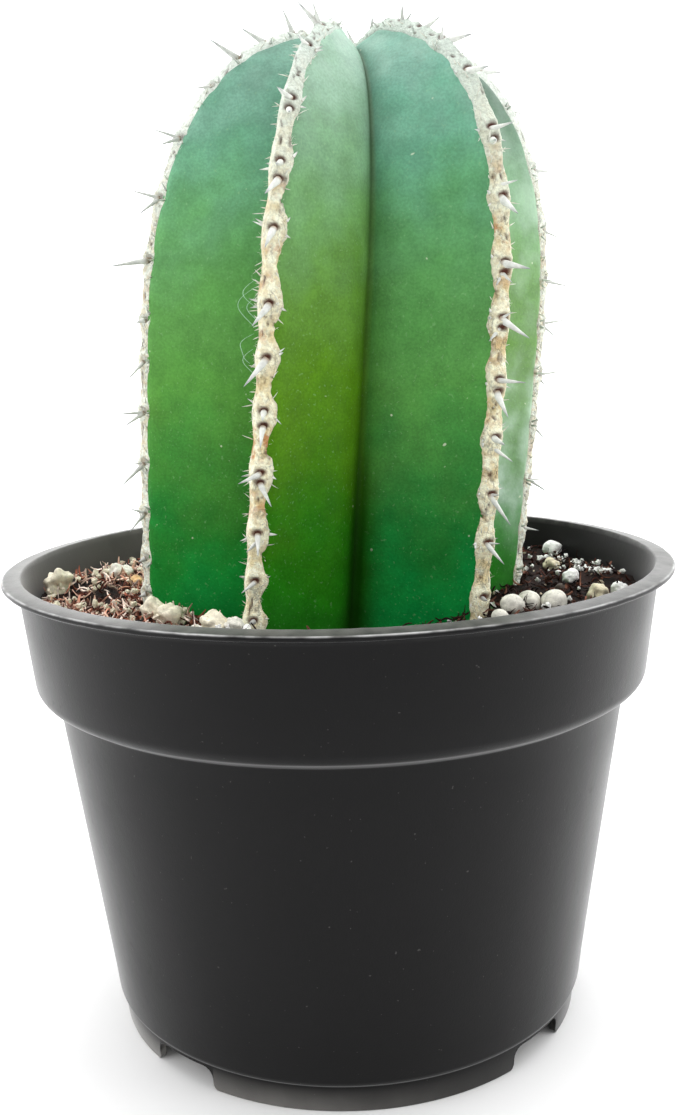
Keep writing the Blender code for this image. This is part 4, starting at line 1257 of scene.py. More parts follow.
class Copies:
    """Copies of one modelled body in one mesh, each with its own place and size: spikes or loose grains."""

    def __init__(self, model: Piece) -> None:
        """Takes the body's points and faces, and removes it.

        Args:
            model: a spike of radius 1 and length 1 on the origin, or a grain 2 wide in all directions.
        """
        self.shape = np.array([vertex.co for vertex in model.data.vertices])
        self.faces = [tuple(face.vertices) for face in model.data.polygons]
        self.points: list[Array] = []
        self.marks: list[Marks] = []
        bpy.data.objects.remove(model)

    def plant(self, root: Array, aim: Array, length: float, radius: float, bend: float = 0.0,
              shade: float = 0.5) -> None:
        """Adds a spike.

        Args:
            root: where its foot stands.
            aim: its direction.
            length: its length.
            radius: its radius at the foot.
            bend: how far its tip is bent aside, as a share of its length.
            shade: its shade, from 0 to 1; on the outline ribs and near the crown it is painted shade.
        """
        aim = unit(np.asarray(aim, dtype=float))
        aside = unit(np.cross(aim, (0.31, 0.17, 0.93)))
        across, other, share = self.shape.T[..., None]
        self.points.append(aside * (across * radius + bend * length * share ** 2)
                           + np.cross(aim, aside) * other * radius + aim * share * length + root)
        self.marks.append({"along": self.shape[:, 2], "shade": np.full(len(self.shape), shade)})

    def drop(self, place: Array, turn: Matrix, sizes: tuple[float, float, float], colour: Colour,
             lumpiness: float, seed: float, curl: float) -> None:
        """Adds a grain.

        Args:
            place: where its middle lies.
            turn: its rotation.
            sizes: half its length, width and thickness.
            colour: its colour.
            lumpiness: how far its surface swells and sinks, as a share of its size.
            seed: its own pattern of lumps.
            curl: how far its ends bend up, as a share of its length.
        """
        shape = self.shape
        if lumpiness:
            swell = noise_at(shape, 1.0 / 1.3, seed) * 2.0 + 0.5 * noise_at(shape, 0.3, seed + 9.0)
            shape = shape * (1.0 + lumpiness * swell)[:, None]
        shape = shape * np.array(sizes)
        shape[:, 2] += curl * sizes[0] * (shape[:, 0] / sizes[0]) ** 2
        self.points.append(shape @ np.array(turn).T + place)
        self.marks.append({"colour": np.tile(colour, (len(shape), 1))})

    def finish(self, name: str, smooth: float = 180.0) -> Piece:
        """Puts all copies in one piece.

        Args:
            name: the piece's name.
            smooth: faces that meet at less than this angle, in degrees, are shaded smooth.

        Returns:
            The piece.
        """
        count = len(self.shape)
        faces = [tuple(corner + count * copy for corner in face)
                 for copy in range(len(self.points)) for face in self.faces]
        mesh = bpy.data.meshes.new(name)
        mesh.from_pydata(np.concatenate(self.points).tolist(), [], faces)
        put_marks(mesh, {key: np.concatenate([marks[key] for marks in self.marks]) for key in self.marks[0]})
        piece = bpy.data.objects.new(name, mesh)
        bpy.context.scene.collection.objects.link(piece)
        return settle(piece, name, smooth=smooth)


@dataclass(frozen=True)
class Horn:
    """Hard pale grey spines: brown at the foot, white along the middle and grey at the tip, with painted
    shade on the outline ribs and near the crown.
    """

    roughness: float = 0.42
    gloss: float = 0.35
    colours: tuple[tuple[float, Colour], ...] = stops((0.0, 162, 138, 112), (0.14, 228, 230, 224),
                                                      (0.62, 228, 230, 224), (1.0, 160, 166, 168))

    def make(self, effects: Effects) -> Material:
        """Builds the material.

        Args:
            effects: the shared node groups.

        Returns:
            The material.
        """
        paint = Paint("spine_horn", effects)
        horn = paint.ramp(paint.mark("along"), self.colours)
        horn = paint.tint(horn, paint.cloud(900.0, 3.0, 0.35, 0.65), 0.86, 1.06)
        # Painted shade: spines with a low shade mark are drawn darker.
        horn = paint.tint(horn, paint.mark("shade"), 0.64, 1.0)
        return paint.finish(horn, self.roughness, self.gloss, (3000.0, 900.0, 0.5, 0.03 * MM, 0.5))


@dataclass(frozen=True)
class Fluff:
    """Loose pale fibres and threads."""

    name: str = "felt_fluff"
    colour: Colour = linear(224, 224, 212)
    roughness: float = 0.9
    gloss: float = 0.5

    def make(self, effects: Effects) -> Material:
        """Builds the material.

        Args:
            effects: the shared node groups.

        Returns:
            The material.
        """
        paint = Paint(self.name, effects)
        fluff = paint.tint(self.colour, paint.cloud(500.0, 2.0, 0.3, 0.7), 0.85, 1.05)
        return paint.finish(fluff, self.roughness, self.gloss)


@dataclass
class Spines:
    """The stout central spines and short radial ones.

    Those that the photograph shows are set one by one in seen. A row gives the areole, counted from 1, and in
    millimetres the tip's reach to the right and up, the length, the radius and how far below the areole it
    stands.
    """

    form: StemForm
    areoles: Areoles
    central_length: float = 5.6 * MM
    central_radius: float = 0.5 * MM
    short_share: float = 0.35
    radial_length: float = 2.1 * MM
    radial_radius: float = 0.21 * MM
    radial_aside: float = 2.35 * MM
    radial_sink: float = 0.15 * MM
    root_height: float = 1.15 * MM
    sink: float = 0.5 * MM
    stout: float = 0.45
    outline_ribs: tuple[int, ...] = (0, 3)
    outline_growth: float = 1.2
    profile: tuple[tuple[float, float], ...] = (
        (1.3, 0.0), (1.28, 0.12), (1.08, 0.28), (0.86, 0.46), (0.62, 0.64), (0.38, 0.82), (0.15, 0.96),
        (0.03, 1.0))
    segments: int = 10
    seed: int = 23
    seen: dict[int, tuple[tuple[float, ...], ...]] = field(default_factory=lambda: {
        0: ((1, -1.6, 0.6, 1.8, 0.3), (2, -1.7, 4.2, 4.6, 0.5), (3, -4.3, 2.4, 5.2, 0.55),
            (3, -2.6, -0.2, 2.6, 0.25), (4, -4.8, 3.2, 6.0, 0.6), (5, -2.5, -0.3, 2.6, 0.35),
            (6, -4.4, 1.4, 5.0, 0.35), (6, -3.3, -1.3, 4.0, 0.4), (7, -4.6, 1.3, 5.0, 0.35),
            (7, -3.4, -2.7, 4.6, 0.4), (8, -6.5, -1.0, 7.0, 0.55), (10, -3.0, -3.3, 4.6, 0.35),
            (11, -3.9, 0.0, 4.2, 0.35), (11, -3.3, -2.2, 4.2, 0.4), (12, -2.2, 0.1, 2.4, 0.2),
            (12, -4.3, -4.0, 6.0, 0.45), (13, -2.5, 1.0, 2.8, 0.3), (13, -2.7, -3.0, 4.3, 0.35)),
        1: ((1, -0.6, 2.1, 3.0, 0.35), (1, 1.3, 2.8, 3.5, 0.35), (3, -4.3, 4.6, 6.5, 0.6),
            (3, -1.4, 4.3, 5.5, 0.4), (3, -1.3, 2.3, 3.0, 0.3), (4, -1.6, 1.7, 2.6, 0.45),
            (5, -2.1, 1.7, 3.0, 0.45), (5, -0.1, -0.9, 4.0, 0.5, 2.5), (6, -0.6, -0.8, 4.0, 0.5),
            (6, -2.4, -2.8, 5.5, 0.6, 3.5), (7, -1.8, -3.4, 5.5, 0.6), (8, -3.0, -3.8, 6.0, 0.6),
            (9, -4.2, -4.9, 7.0, 0.6), (10, -0.2, -1.2, 4.5, 0.5), (10, -0.6, -3.5, 5.0, 0.5, 3.0),
            (11, -3.9, -1.4, 5.0, 0.5), (11, 2.1, -3.9, 5.5, 0.5, 2.0), (12, 0.2, -3.5, 5.0, 0.5),
            (12, -1.9, -1.5, 3.0, 0.4, 1.5), (13, -2.4, -1.5, 3.8, 0.4)),
        2: ((1, 1.0, 3.8, 4.5, 0.5), (2, 0.7, 1.0, 1.8, 0.25), (2, 0.0, 1.1, 1.8, 0.25),
            (3, -0.3, 3.3, 4.0, 0.5), (3, 1.7, 2.1, 3.2, 0.35), (4, 4.0, 2.0, 5.5, 0.5),
            (5, 6.0, 1.1, 6.5, 0.65), (5, 0.0, 2.6, 3.0, 0.4), (6, 3.7, 0.2, 6.0, 0.65),
            (7, 4.2, 0.6, 5.5, 0.45), (7, 0.2, -0.4, 4.0, 0.65, 2.5), (8, 3.0, 0.5, 4.0, 0.35, -2.5),
            (8, 2.9, -3.6, 6.5, 0.7), (8, -1.0, -0.4, 1.3, 0.3), (9, 4.4, -1.2, 6.3, 0.65),
            (9, 1.5, -1.7, 2.8, 0.35, 2.0), (9, -1.2, -2.0, 2.5, 0.45, 2.0), (10, 5.1, -3.8, 7.0, 0.6),
            (10, 2.0, 1.0, 2.5, 0.3), (10, -2.0, -2.2, 3.2, 0.45, 2.0), (11, 5.3, -0.6, 6.0, 0.45),
            (11, 1.8, -4.6, 5.8, 0.65, 2.5), (12, 1.6, -1.0, 4.5, 0.6), (12, 3.5, -2.6, 5.0, 0.4, 2.0),
            (13, 4.0, -6.0, 7.5, 0.5), (13, 1.7, 0.0, 2.0, 0.3), (14, 3.3, -3.8, 6.0, 0.5),
            (14, 2.5, 0.0, 2.7, 0.3)),
        3: ((4, 1.9, 0.9, 2.2, 0.3), (5, 4.6, 0.3, 5.0, 0.6), (6, 3.2, -1.0, 3.5, 0.25),
            (7, 4.2, -0.3, 4.5, 0.4), (8, 4.0, -1.8, 4.5, 0.25), (9, 5.2, -1.2, 5.5, 0.35),
            (10, 5.0, 0.6, 5.2, 0.3), (10, 3.6, -3.1, 5.0, 0.25), (11, 5.8, 0.6, 6.0, 0.3),
            (11, 1.9, -2.3, 3.2, 0.3), (12, 2.7, -2.9, 4.2, 0.3), (13, 4.6, -3.1, 6.0, 0.35),
            (13, 4.2, -0.8, 5.0, 0.25), (14, 3.4, -1.0, 4.0, 0.3))})

    def build(self, effects: Effects) -> None:
        """Builds the spines and hands them over.

        Args:
            effects: the shared node groups.
        """
        draw = random.Random(self.seed)
        spikes = Copies(turned("spike", self.profile, self.segments, True))
        for rib in range(len(self.form.azimuths)):
            line = CrestLine(self.form, rib)
            for index, axes in enumerate(zip(*line.place(np.array(self.areoles.places(line))))):
                self._areole(spikes, rib, index, axes, draw)
        hand_over(spikes.finish("spines"), Horn().make(effects), "felt_and_spines")

    def roots(self, rib: int, places: list[float]) -> list[float]:
        """Gives the lengths, run from the crown, where a rib's stout spines stand.

        Args:
            rib: which rib.
            places: its areoles.

        Returns:
            The roots' lengths.
        """
        found = []
        for index, place in enumerate(places):
            rows = [row for row in self.seen.get(rib, ()) if row[0] == index + 1 and row[4] >= self.stout]
            found.extend(sorted({place + sum(row[5:]) * MM for row in rows}) or [place])
        return found

    def _areole(self, spikes: Copies, rib: int, index: int, axes: tuple[Array, ...],
                draw: random.Random) -> None:
        """Plants an areole's spines: those that show in the photograph, or one by rule, and the radial ones.

        Args:
            spikes: the spikes to add to.
            rib: which rib.
            index: which areole, from the crown.
            axes: its place, and directions down, sideways and outward.
            draw: source of chance.
        """
        point, down, sideways, normal = axes
        size = self.areoles.share(index)
        foot = point + normal * (self.root_height * size - self.sink)
        outline = rib in self.outline_ribs
        seen = [row for row in self.seen.get(rib, ()) if row[0] == index + 1]
        for areole, right, up, length, radius, *below in seen:
            towards = math.sqrt(max(length ** 2 - right ** 2 - up ** 2, 0.0))
            aim = (right, towards if rib == 3 else -towards, up)
            # Painted shade: seen spines on the outline ribs and at the first three areoles are drawn darker.
            pale = draw.uniform(0.15, 0.45) if outline or areole < 4 else draw.uniform(0.5, 0.85)
            length *= (self.outline_growth if outline else 1.0) * MM
            spikes.plant(foot + down * sum(below) * MM, aim, length + self.sink, radius * MM,
                         draw.uniform(-0.07, 0.07), pale)
        if not seen:
            aim = normal + down * draw.uniform(-0.1, 0.55) + sideways * draw.uniform(-0.45, 0.45)
            length = self.central_length * draw.uniform(0.75, 1.15)
            radius = self.central_radius * draw.uniform(0.75, 1.1)
            spikes.plant(foot, aim, length * (1.0 if rib > 3 else self.short_share), radius,
                         draw.uniform(-0.08, 0.08), draw.random())
        for side in (-1.0, 1.0):
            for _ in range(draw.choice((1, 1, 2, 2))):
                along = draw.uniform(-1.7, 1.7)
                root = point + (sideways * side * self.radial_aside - normal * self.radial_sink) * size
                root = root + down * along * MM
                aim = normal * draw.uniform(0.3, 0.9) + sideways * side + down * along * 0.5
                length = self.radial_length * draw.uniform(0.5, 1.25)
                radius = self.radial_radius * draw.uniform(0.7, 1.25)
                spikes.plant(root, aim, length, radius, draw.uniform(-0.15, 0.15), draw.random())


@dataclass
class Threads:
    """Cobweb-thin pale threads that hang on the felt's side, at the second rib from the left."""

    form: StemForm
    rib: int = 1
    starts: tuple[float, ...] = (79.5, 81.0, 83.0, 90.0, 93.0)
    half_width: float = 3.0 * MM
    thickness: float = 0.055 * MM
    longest: float = 8.5 * MM
    away: float = 3.6 * MM
    wiggle: float = 0.5 * MM
    lifts: tuple[float, float] = (0.9 * MM, 0.8 * MM)
    steps: int = 26
    sides: int = 4
    seed: int = 71

    def build(self, effects: Effects) -> None:
        """Models threads that leave the felt, hang beside it and come back, and hands them over.

        Args:
            effects: the shared node groups.
        """
        draw = random.Random(self.seed)
        line = CrestLine(self.form, self.rib)
        run = np.linspace(0.0, 1.0, self.steps)
        arch = np.sin(np.pi * run)
        turn = np.linspace(0.0, TAU, self.sides, endpoint=False)[:, None]
        strands = []
        for start in self.starts:
            lengths = start * MM + run * self.longest * draw.uniform(0.5, 1.0)
            point, _, sideways, normal = line.place(lengths)
            bow = arch * draw.uniform(0.3, 1.0) * self.away
            bow += self.wiggle * np.sin(run * draw.uniform(5.0, 9.0))
            lift = self.lifts[0] - self.lifts[1] * arch * draw.uniform(0.2, 1.0)
            path = point - sideways * (self.half_width + bow)[:, None] + normal * lift[:, None]
            ring = normal[:, None] * np.cos(turn) + sideways[:, None] * np.sin(turn)
            tube = path[:, None] + ring * self.thickness
            strands.append(grid_piece("strand", tube, {}, (path[0], path[-1])))
        hand_over(join(strands, "threads"), Fluff("thread", linear(178, 214, 190)).make(effects),
                  "felt_and_spines")


def arc(centre: tuple[float, float], radius: float, start: float, end: float, steps: int) -> Profile:
    """Gives points on an arc.

    Args:
        centre: its centre.
        radius: its radius.
        start: angle of the first point, in degrees.
        end: angle of the last one.
        steps: how many points.

    Returns:
        The points.
    """
    turns = np.radians(np.linspace(start, end, steps))
    return [(centre[0] + radius * math.cos(turn), centre[1] + radius * math.sin(turn)) for turn in turns]


def rounded(profile: Profile, radius: float, longest: float, flattest: float = math.radians(9.0),
            share_of_run: float = 0.4) -> Profile:
    """Rounds a profile's corners and divides its long straight runs.

    Args:
        profile: the profile's points.
        radius: how far from a corner its rounding starts.
        longest: the longest run left undivided.
        flattest: corners that turn less than this stay as they are.
        share_of_run: the most of a run that one corner's rounding takes up.

    Returns:
        The new profile.
    """
    points = [Vector(point) for point in profile]
    result = [points[0]]
    for before, corner, after in zip(points, points[1:], points[2:]):
        into, out = corner - before, after - corner
        reach_in, reach_out = (min(radius, share_of_run * run.length) for run in (into, out))
        if into.angle(out) < flattest:
            result.append(corner)
            continue
        start, end = corner - into.normalized() * reach_in, corner + out.normalized() * reach_out
        for share in (0.0, 0.33, 0.67, 1.0):
            result.append(start.lerp(corner, share).lerp(corner.lerp(end, share), share))
    result.append(points[-1])
    divided = [result[0]]
    for point in result[1:]:
        last = divided[-1]
        count = max(1, math.ceil((point - last).length / longest))
        divided.extend(last.lerp(point, step / count) for step in range(1, count + 1))
    return [tuple(point) for point in divided]


@dataclass(frozen=True)
class PotPlastic:
    """Satin black moulded plastic, a little worn, dusty inside the rim, with painted sheen on the lip's top
    and a painted highlight along its rounded edge.
    """

    black: Colour = (0.0026, 0.0026, 0.0028)
    scuffed: Colour = (0.006, 0.006, 0.0063)
    # Colour of the dusting inside the rim, also used for the painted sheen on the lip's top.
    dust_and_sheen: Colour = linear(122, 120, 117)
    # Colour of the painted highlight along the lip's rounded edge.
    edge: Colour = linear(188, 188, 188)
    dust_depth: tuple[float, float] = (16.0 * MM, 9.0 * MM)
    dust_side: tuple[float, float] = (-0.8, 0.6)
    roughness: float = 0.42
    gloss: float = 0.15
    sheen: float = 0.45
    sheen_roughness: float = 0.28

    def make(self, effects: Effects, pot: Pot) -> Material:
        """Builds the material, fitted to the pot's height and radius.

        Args:
            effects: the shared node groups.
            pot: the pot, for its sizes.

        Returns:
            The material.
        """
        paint = Paint("pot_plastic", effects)
        clouds = paint.times(paint.cloud(38.0, 4.0, 0.42, 0.72), 0.28)
        worn = paint.math("ADD!", clouds, paint.times(paint.cloud(420.0, 5.0, 0.60, 0.78, 4.0), 0.35))
        low, high = (pot.height - depth for depth in self.dust_depth)
        left, right = (share * pot.lip_radius for share in self.dust_side)
        inside = paint.times(paint.span(paint.place(2), low, high, 1.0, 0.45), paint.mark("inside"))
        patches = paint.math("ADD", 0.85, paint.times(paint.cloud(90.0, 6.0, 0.2, 0.8, 8.0), 0.6))
        dusty = paint.math("MULTIPLY!", paint.span(paint.place(0), left, right, 1.0, 0.08), patches)
        # The lip's top: dusting and a painted sheen, lighter in patches.
        rubbed_and_sheen = paint.times(paint.mark("top"), paint.cloud(300.0, 5.0, 0.2, 0.8, 21.0), 0.38)
        # Painted highlight: a pale broken line along the upper part of the lip's rounded edge.
        lip_highlight = paint.times(paint.mark("edge"), paint.cloud(170.0, 6.0, 0.26, 0.74, 12.0))
        grit = paint.times(paint.cloud(1300.0, 1.0, 0.74, 0.78, 15.0), 0.25)
        plastic = self.black
        for mask, colour in ((worn, self.scuffed), (paint.times(inside, dusty), self.dust_and_sheen),
                             (rubbed_and_sheen, self.dust_and_sheen), (lip_highlight, self.edge), (grit, self.dust_and_sheen)):
            plastic = paint.mix(mask, plastic, colour)
        rough = paint.span(worn, 0.0, 1.0, self.roughness - 0.04, self.roughness + 0.22, "LINEAR")
        return paint.finish(plastic, rough, self.gloss, (2600.0, 500.0, 0.7, 0.05 * MM, 0.45),
                            {"Sheen Weight": self.sheen, "Sheen Roughness": self.sheen_roughness})


@dataclass
class Pot:
    """The moulded pot: lip, collar, shoulder, tapered body, foot ring with gaps, and drained floor."""

    height: float = 109.6 * MM
    lip_radius: float = 78.5 * MM
    lip_inner_radius: float = 74.2 * MM
    lip_thickness: float = 1.5 * MM
    lip_nose: float = 0.6 * MM
    lip_edge_drop: float = 0.4 * MM
    lip_undercut: float = 1.6 * MM
    lip_fillet: float = 0.8 * MM
    collar_top_radius: float = 74.9 * MM
    collar_low_radius: float = 72.6 * MM
    collar_low: float = 85.5 * MM
    shoulder_radius: float = 67.6 * MM
    shoulder_height: float = 80.4 * MM
    shoulder_round: float = 0.75
    body_low_radius: float = 57.9 * MM
    body_low: float = 7.2 * MM
    body_edge: float = 0.4 * MM
    foot_radius: float = 56.2 * MM
    foot_width: float = 1.6 * MM
    foot_draft: float = 0.5 * MM
    wall: float = 1.3 * MM
    floor_under: float = 6.2 * MM
    floor_thickness: float = 1.6 * MM
    floor_middle: float = 3.0 * MM
    floor_corner: float = 1.0 * MM
    segments: int = 224
    edge_round: float = 0.35 * MM
    longest_run: float = 6.0 * MM
    sharpest_smooth: float = 32.0
    waviness: float = 0.10 * MM
    wave_size: float = 26.0 * MM
    wave_rise: float = 8.0 * MM
    nick: float = 0.07 * MM
    nick_size: float = 2.2 * MM
    # Where the painted highlight sits on the lip's rounded edge, and how far it spreads, in degrees.
    highlight_turn: float = 62.0
    highlight_spread: float = 24.0
    gap_count: int = 4
    gap_first: float = math.radians(48.5)
    gap_width: float = 17.5 * MM
    gap_height: float = 5.3 * MM
    gap_round: float = 2.4 * MM
    gap_flare: float = 1.6 * MM
    gap_reach: float = 5.0 * MM
    gap_low: float = -1.0 * MM
    drain_radius: float = 4.5 * MM
    drain_circle: float = 45.0 * MM
    drain_depth: float = 6.0 * MM
    drain_segments: int = 40

    def wall_inside(self) -> Profile:
        """Gives the profile of the pot's inside, from its floor to its lip.

        Returns:
            Radius and height of each corner.
        """
        floor = self.floor_under + self.floor_thickness
        slope = (self.shoulder_radius - self.body_low_radius) / (self.shoulder_height - self.body_low)
        low = self.body_low_radius + slope * (floor - self.body_low) - self.wall
        return [(low - self.floor_corner, floor), (low, floor + self.floor_corner),
                (self.shoulder_radius - self.wall, self.shoulder_height + 0.3 * self.wall),
                (self.collar_low_radius - 1.9 * self.wall, self.collar_low - 1.5 * self.wall),
                (self.collar_low_radius - self.wall, self.collar_low + 0.6 * self.wall),
                (self.lip_inner_radius - self.body_edge, self.height - self.lip_thickness),
                (self.lip_inner_radius, self.height)]

    def nose(self) -> tuple[float, float]:
        """Gives the middle of the lip's rounded edge."""
        return self.lip_radius - self.lip_nose, self.height - self.lip_edge_drop - self.lip_nose

    def profile(self) -> Profile:
        """Gives the whole section, from the floor's underside round the lip to the floor's top.

        Returns:
            Radius and height of each point.
        """
        inner_foot = self.foot_radius - self.foot_width
        bend = (self.collar_low - self.shoulder_height) * self.shoulder_round
        lip_low = self.height - self.lip_thickness
        outside = [(self.floor_middle, self.floor_under), (inner_foot + self.foot_draft, self.floor_under),
                   (inner_foot, 0.0), (self.foot_radius, 0.0),
                   (self.foot_radius + self.foot_draft, self.body_low - 2.5 * self.body_edge),
                   (self.body_low_radius - self.body_edge, self.body_low - self.body_edge),
                   (self.body_low_radius, self.body_low + self.body_edge),
                   (self.shoulder_radius, self.shoulder_height)]
        outside += arc((self.collar_low_radius - bend, self.collar_low), bend, -72.0, -6.0, 7)
        outside += [(self.collar_top_radius, lip_low - self.lip_undercut),
                    (self.collar_top_radius + self.lip_fillet, lip_low - 0.2 * self.lip_undercut)]
        lip = arc(self.nose(), self.lip_nose, -80.0, 80.0, 9)
        inside = self.wall_inside()[::-1] + [(self.floor_middle, self.floor_under + self.floor_thickness)]
        return rounded(outside + lip + inside, self.edge_round, self.longest_run)

    def build(self, effects: Effects) -> None:
        """Builds the pot and hands it over.

        Args:
            effects: the shared node groups.
        """
        pot = turned("pot_body", self.profile(), self.segments, False)
        edit_all(pot)
        bpy.ops.mesh.select_mode(type="EDGE")
        bpy.ops.mesh.select_all(action="DESELECT")
        bpy.ops.mesh.select_non_manifold()
        bpy.ops.mesh.bridge_edge_loops()
        bpy.ops.mesh.select_all(action="SELECT")
        bpy.ops.mesh.normals_make_consistent(inside=False)
        bpy.ops.object.mode_set(mode="OBJECT")
        for cutter in self._cutters():
            select(pot)
            cut = pot.modifiers.new("cut", "BOOLEAN")
            cut.operation, cut.solver, cut.object = "DIFFERENCE", "EXACT", cutter
            bpy.ops.object.modifier_apply(modifier=cut.name)
            bpy.data.objects.remove(cutter)
        self._wave(pot.data)
        settle(pot, "pot_body", smooth=self.sharpest_smooth)
        hand_over(pot, PotPlastic().make(effects, self), "pot")

    def _cutters(self) -> list[Piece]:
        """Models what cuts the foot's gaps and the floor's drain holes.

        Returns:
            The cutters.
        """
        side, corner = self.gap_width / 2.0 + self.gap_flare, self.gap_width / 2.0 - self.gap_round
        left = [(-side, self.gap_low)] + arc((-side, self.gap_flare), self.gap_flare, -90.0, 0.0, 6)
        left += arc((-corner, self.gap_height - self.gap_round), self.gap_round, 180.0, 90.0, 6)
        across, up = np.array(left + [(-across, up) for across, up in reversed(left)]).T
        azimuths = [self.gap_first + index * TAU / self.gap_count for index in range(self.gap_count)]
        cutters = []
        for azimuth in azimuths:
            select()
            bpy.ops.mesh.primitive_circle_add(vertices=len(up), fill_type="NGON")
            cutter = bpy.context.object
            near = around(azimuth, self.foot_radius - self.foot_width / 2.0 - self.gap_reach)
            places = near + around(azimuth + np.pi / 2, across, up)
            cutter.data.vertices.foreach_set("co", places.reshape(-1))
            edit_all(cutter)
            outward = tuple(around(azimuth, 2.0 * self.gap_reach).tolist())
            bpy.ops.mesh.extrude_region_move(TRANSFORM_OT_translate={"value": outward})
            bpy.ops.object.mode_set(mode="OBJECT")
            cutters.append(settle(cutter, "gap_cutter"))
        floor = self.floor_under + self.floor_thickness / 2.0
        drains = [around(azimuth, self.drain_circle, floor) for azimuth in azimuths]
        for place in [around(0.0, 0.0, floor)] + drains:
            select()
            bpy.ops.mesh.primitive_cylinder_add(vertices=self.drain_segments, radius=self.drain_radius,
                                                depth=self.drain_depth, location=tuple(place.tolist()))
            cutters.append(settle(bpy.context.object, "drain_cutter"))
        return cutters

    def _wave(self, mesh: bpy.types.Mesh) -> None:
        """Lets wall and lip wander from a true circle, as thin plastic does, and marks the inside for
        dusting, the lip's top for dusting and painted sheen, and the upper part of its rounded edge for a
        painted highlight.

        Args:
            mesh: the pot's mesh.
        """
        points = np.empty(len(mesh.vertices) * 3)
        mesh.vertices.foreach_get("co", points)
        points = points.reshape(-1, 3)
        height = points[:, 2]
        radius = np.hypot(points[:, 0], points[:, 1])
        rows = np.array(self.wall_inside())
        middle = np.interp(height, rows[:, 1], rows[:, 0]) + self.wall / 2.0
        aside, above = radius - self.nose()[0], height - self.nose()[1]
        turn = np.degrees(np.arctan2(above, aside))
        near = np.hypot(above, aside) < 1.3 * self.lip_nose
        # The edge mark places a painted highlight on the upper part of the lip's rounded edge.
        edge = near * np.exp(-((turn - self.highlight_turn) / self.highlight_spread) ** 2)
        # The top mark places dusting and a painted sheen on the lip's flat top.
        top = (height > self.height - 0.6 * MM) * (radius > self.lip_inner_radius - 0.1 * MM)
        put_marks(mesh, {"inside": (radius < middle).astype(float), "edge": edge, "top": top.astype(float)})
        wave = noise_at(points * np.array([1.0, 1.0, 0.35]), self.wave_size, 2.0) - 1.0
        wave = self.waviness * wave * smooth_step(self.body_low, self.body_low + self.wave_rise, height)
        rim = smooth_step(self.height - 4.0 * MM, self.height - 1.0 * MM, height)
        nick = self.nick * (noise_at(points, self.nick_size, 6.0) - 1.0) * rim
        points += unit(points * np.array([1.0, 1.0, 0.0])) * wave[:, None]
        points[:, 2] += nick
        mesh.vertices.foreach_set("co", points.reshape(-1))
        mesh.update()


class Tone(Enum):
    """Colours of what lies in the mix."""

    CREAM = linear(238, 230, 208)
    PALE = linear(228, 225, 214)
    TAN = linear(220, 180, 130)
    BEIGE = linear(222, 212, 184)
    WHITE = linear(246, 246, 243)
    DARK = linear(70, 58, 50)
    GREY = linear(150, 146, 138)


@dataclass(frozen=True)
class Stone:
    """A stone in the mix's surface: its place in degrees and millimetres, its size, and its look."""

    azimuth: float
    distance: float
    half_width: float
    height_share: float
    lumpiness: float
    tone: Tone


@dataclass(frozen=True)
class Zone:
    """A part of the surface, between two azimuths in degrees, over which loose pieces are strewn."""

    low: float
    high: float
    count: int
    size: float
    colours: tuple[Colour, ...]
    nearest: float = 0.0
    lift: float = 0.0


@dataclass(frozen=True)
class Mineral:
    """Stones, pebbles, perlite and crumbs, each coloured by its own mark."""

    name: str
    roughness: float
    gloss: float
    grain: float
    dark: float
    light: float
    relief: float

    def make(self, effects: Effects) -> Material:
        """Builds the material.

        Args:
            effects: the shared node groups.

        Returns:
            The material.
        """
        paint = Paint(self.name, effects)
        colour = paint.add("Attribute", attribute_name="colour").outputs["Color"]
        colour = paint.tint(colour, paint.cloud(self.grain, 4.0, 0.34, 0.66), self.dark, self.light)
        colour = paint.tint(colour, paint.cloud(3.4 * self.grain, 2.0, 0.60, 0.72, 6.0), 1.0, 0.66)
        return paint.finish(colour, self.roughness, self.gloss,
                            (4.0 * self.grain, self.grain, 0.8, self.relief, 0.7))


@dataclass(frozen=True)
class PeatGround:
    """Dark damp peat between the larger pieces."""

    dark: Colour = linear(17, 12, 10)
    brown: Colour = linear(38, 23, 19)
    pale: Colour = linear(104, 70, 56)
    roughness: float = 0.92
    gloss: float = 0.15

    def make(self, effects: Effects) -> Material:
        """Builds the material.

        Args:
            effects: the shared node groups.

        Returns:
            The material.
        """
        paint = Paint("peat_ground", effects)
        peat = paint.mix(paint.cloud(420.0, 4.0, 0.38, 0.62), self.dark, self.brown)
        peat = paint.mix(paint.times(paint.cloud(900.0, 2.0, 0.64, 0.70, 5.0), 0.7), peat, self.pale)
        return paint.finish(peat, self.roughness, self.gloss, (1800.0, 600.0, 0.9, 0.35 * MM, 0.9))


def ball(subdivisions: int) -> Piece:
    """Adds a ball of radius 1 as the start of stones, grains and crumbs.

    Args:
        subdivisions: how finely it is divided.

    Returns:
        The ball.
    """
    select()
    bpy.ops.mesh.primitive_ico_sphere_add(subdivisions=subdivisions, radius=1.0)
    return bpy.context.object


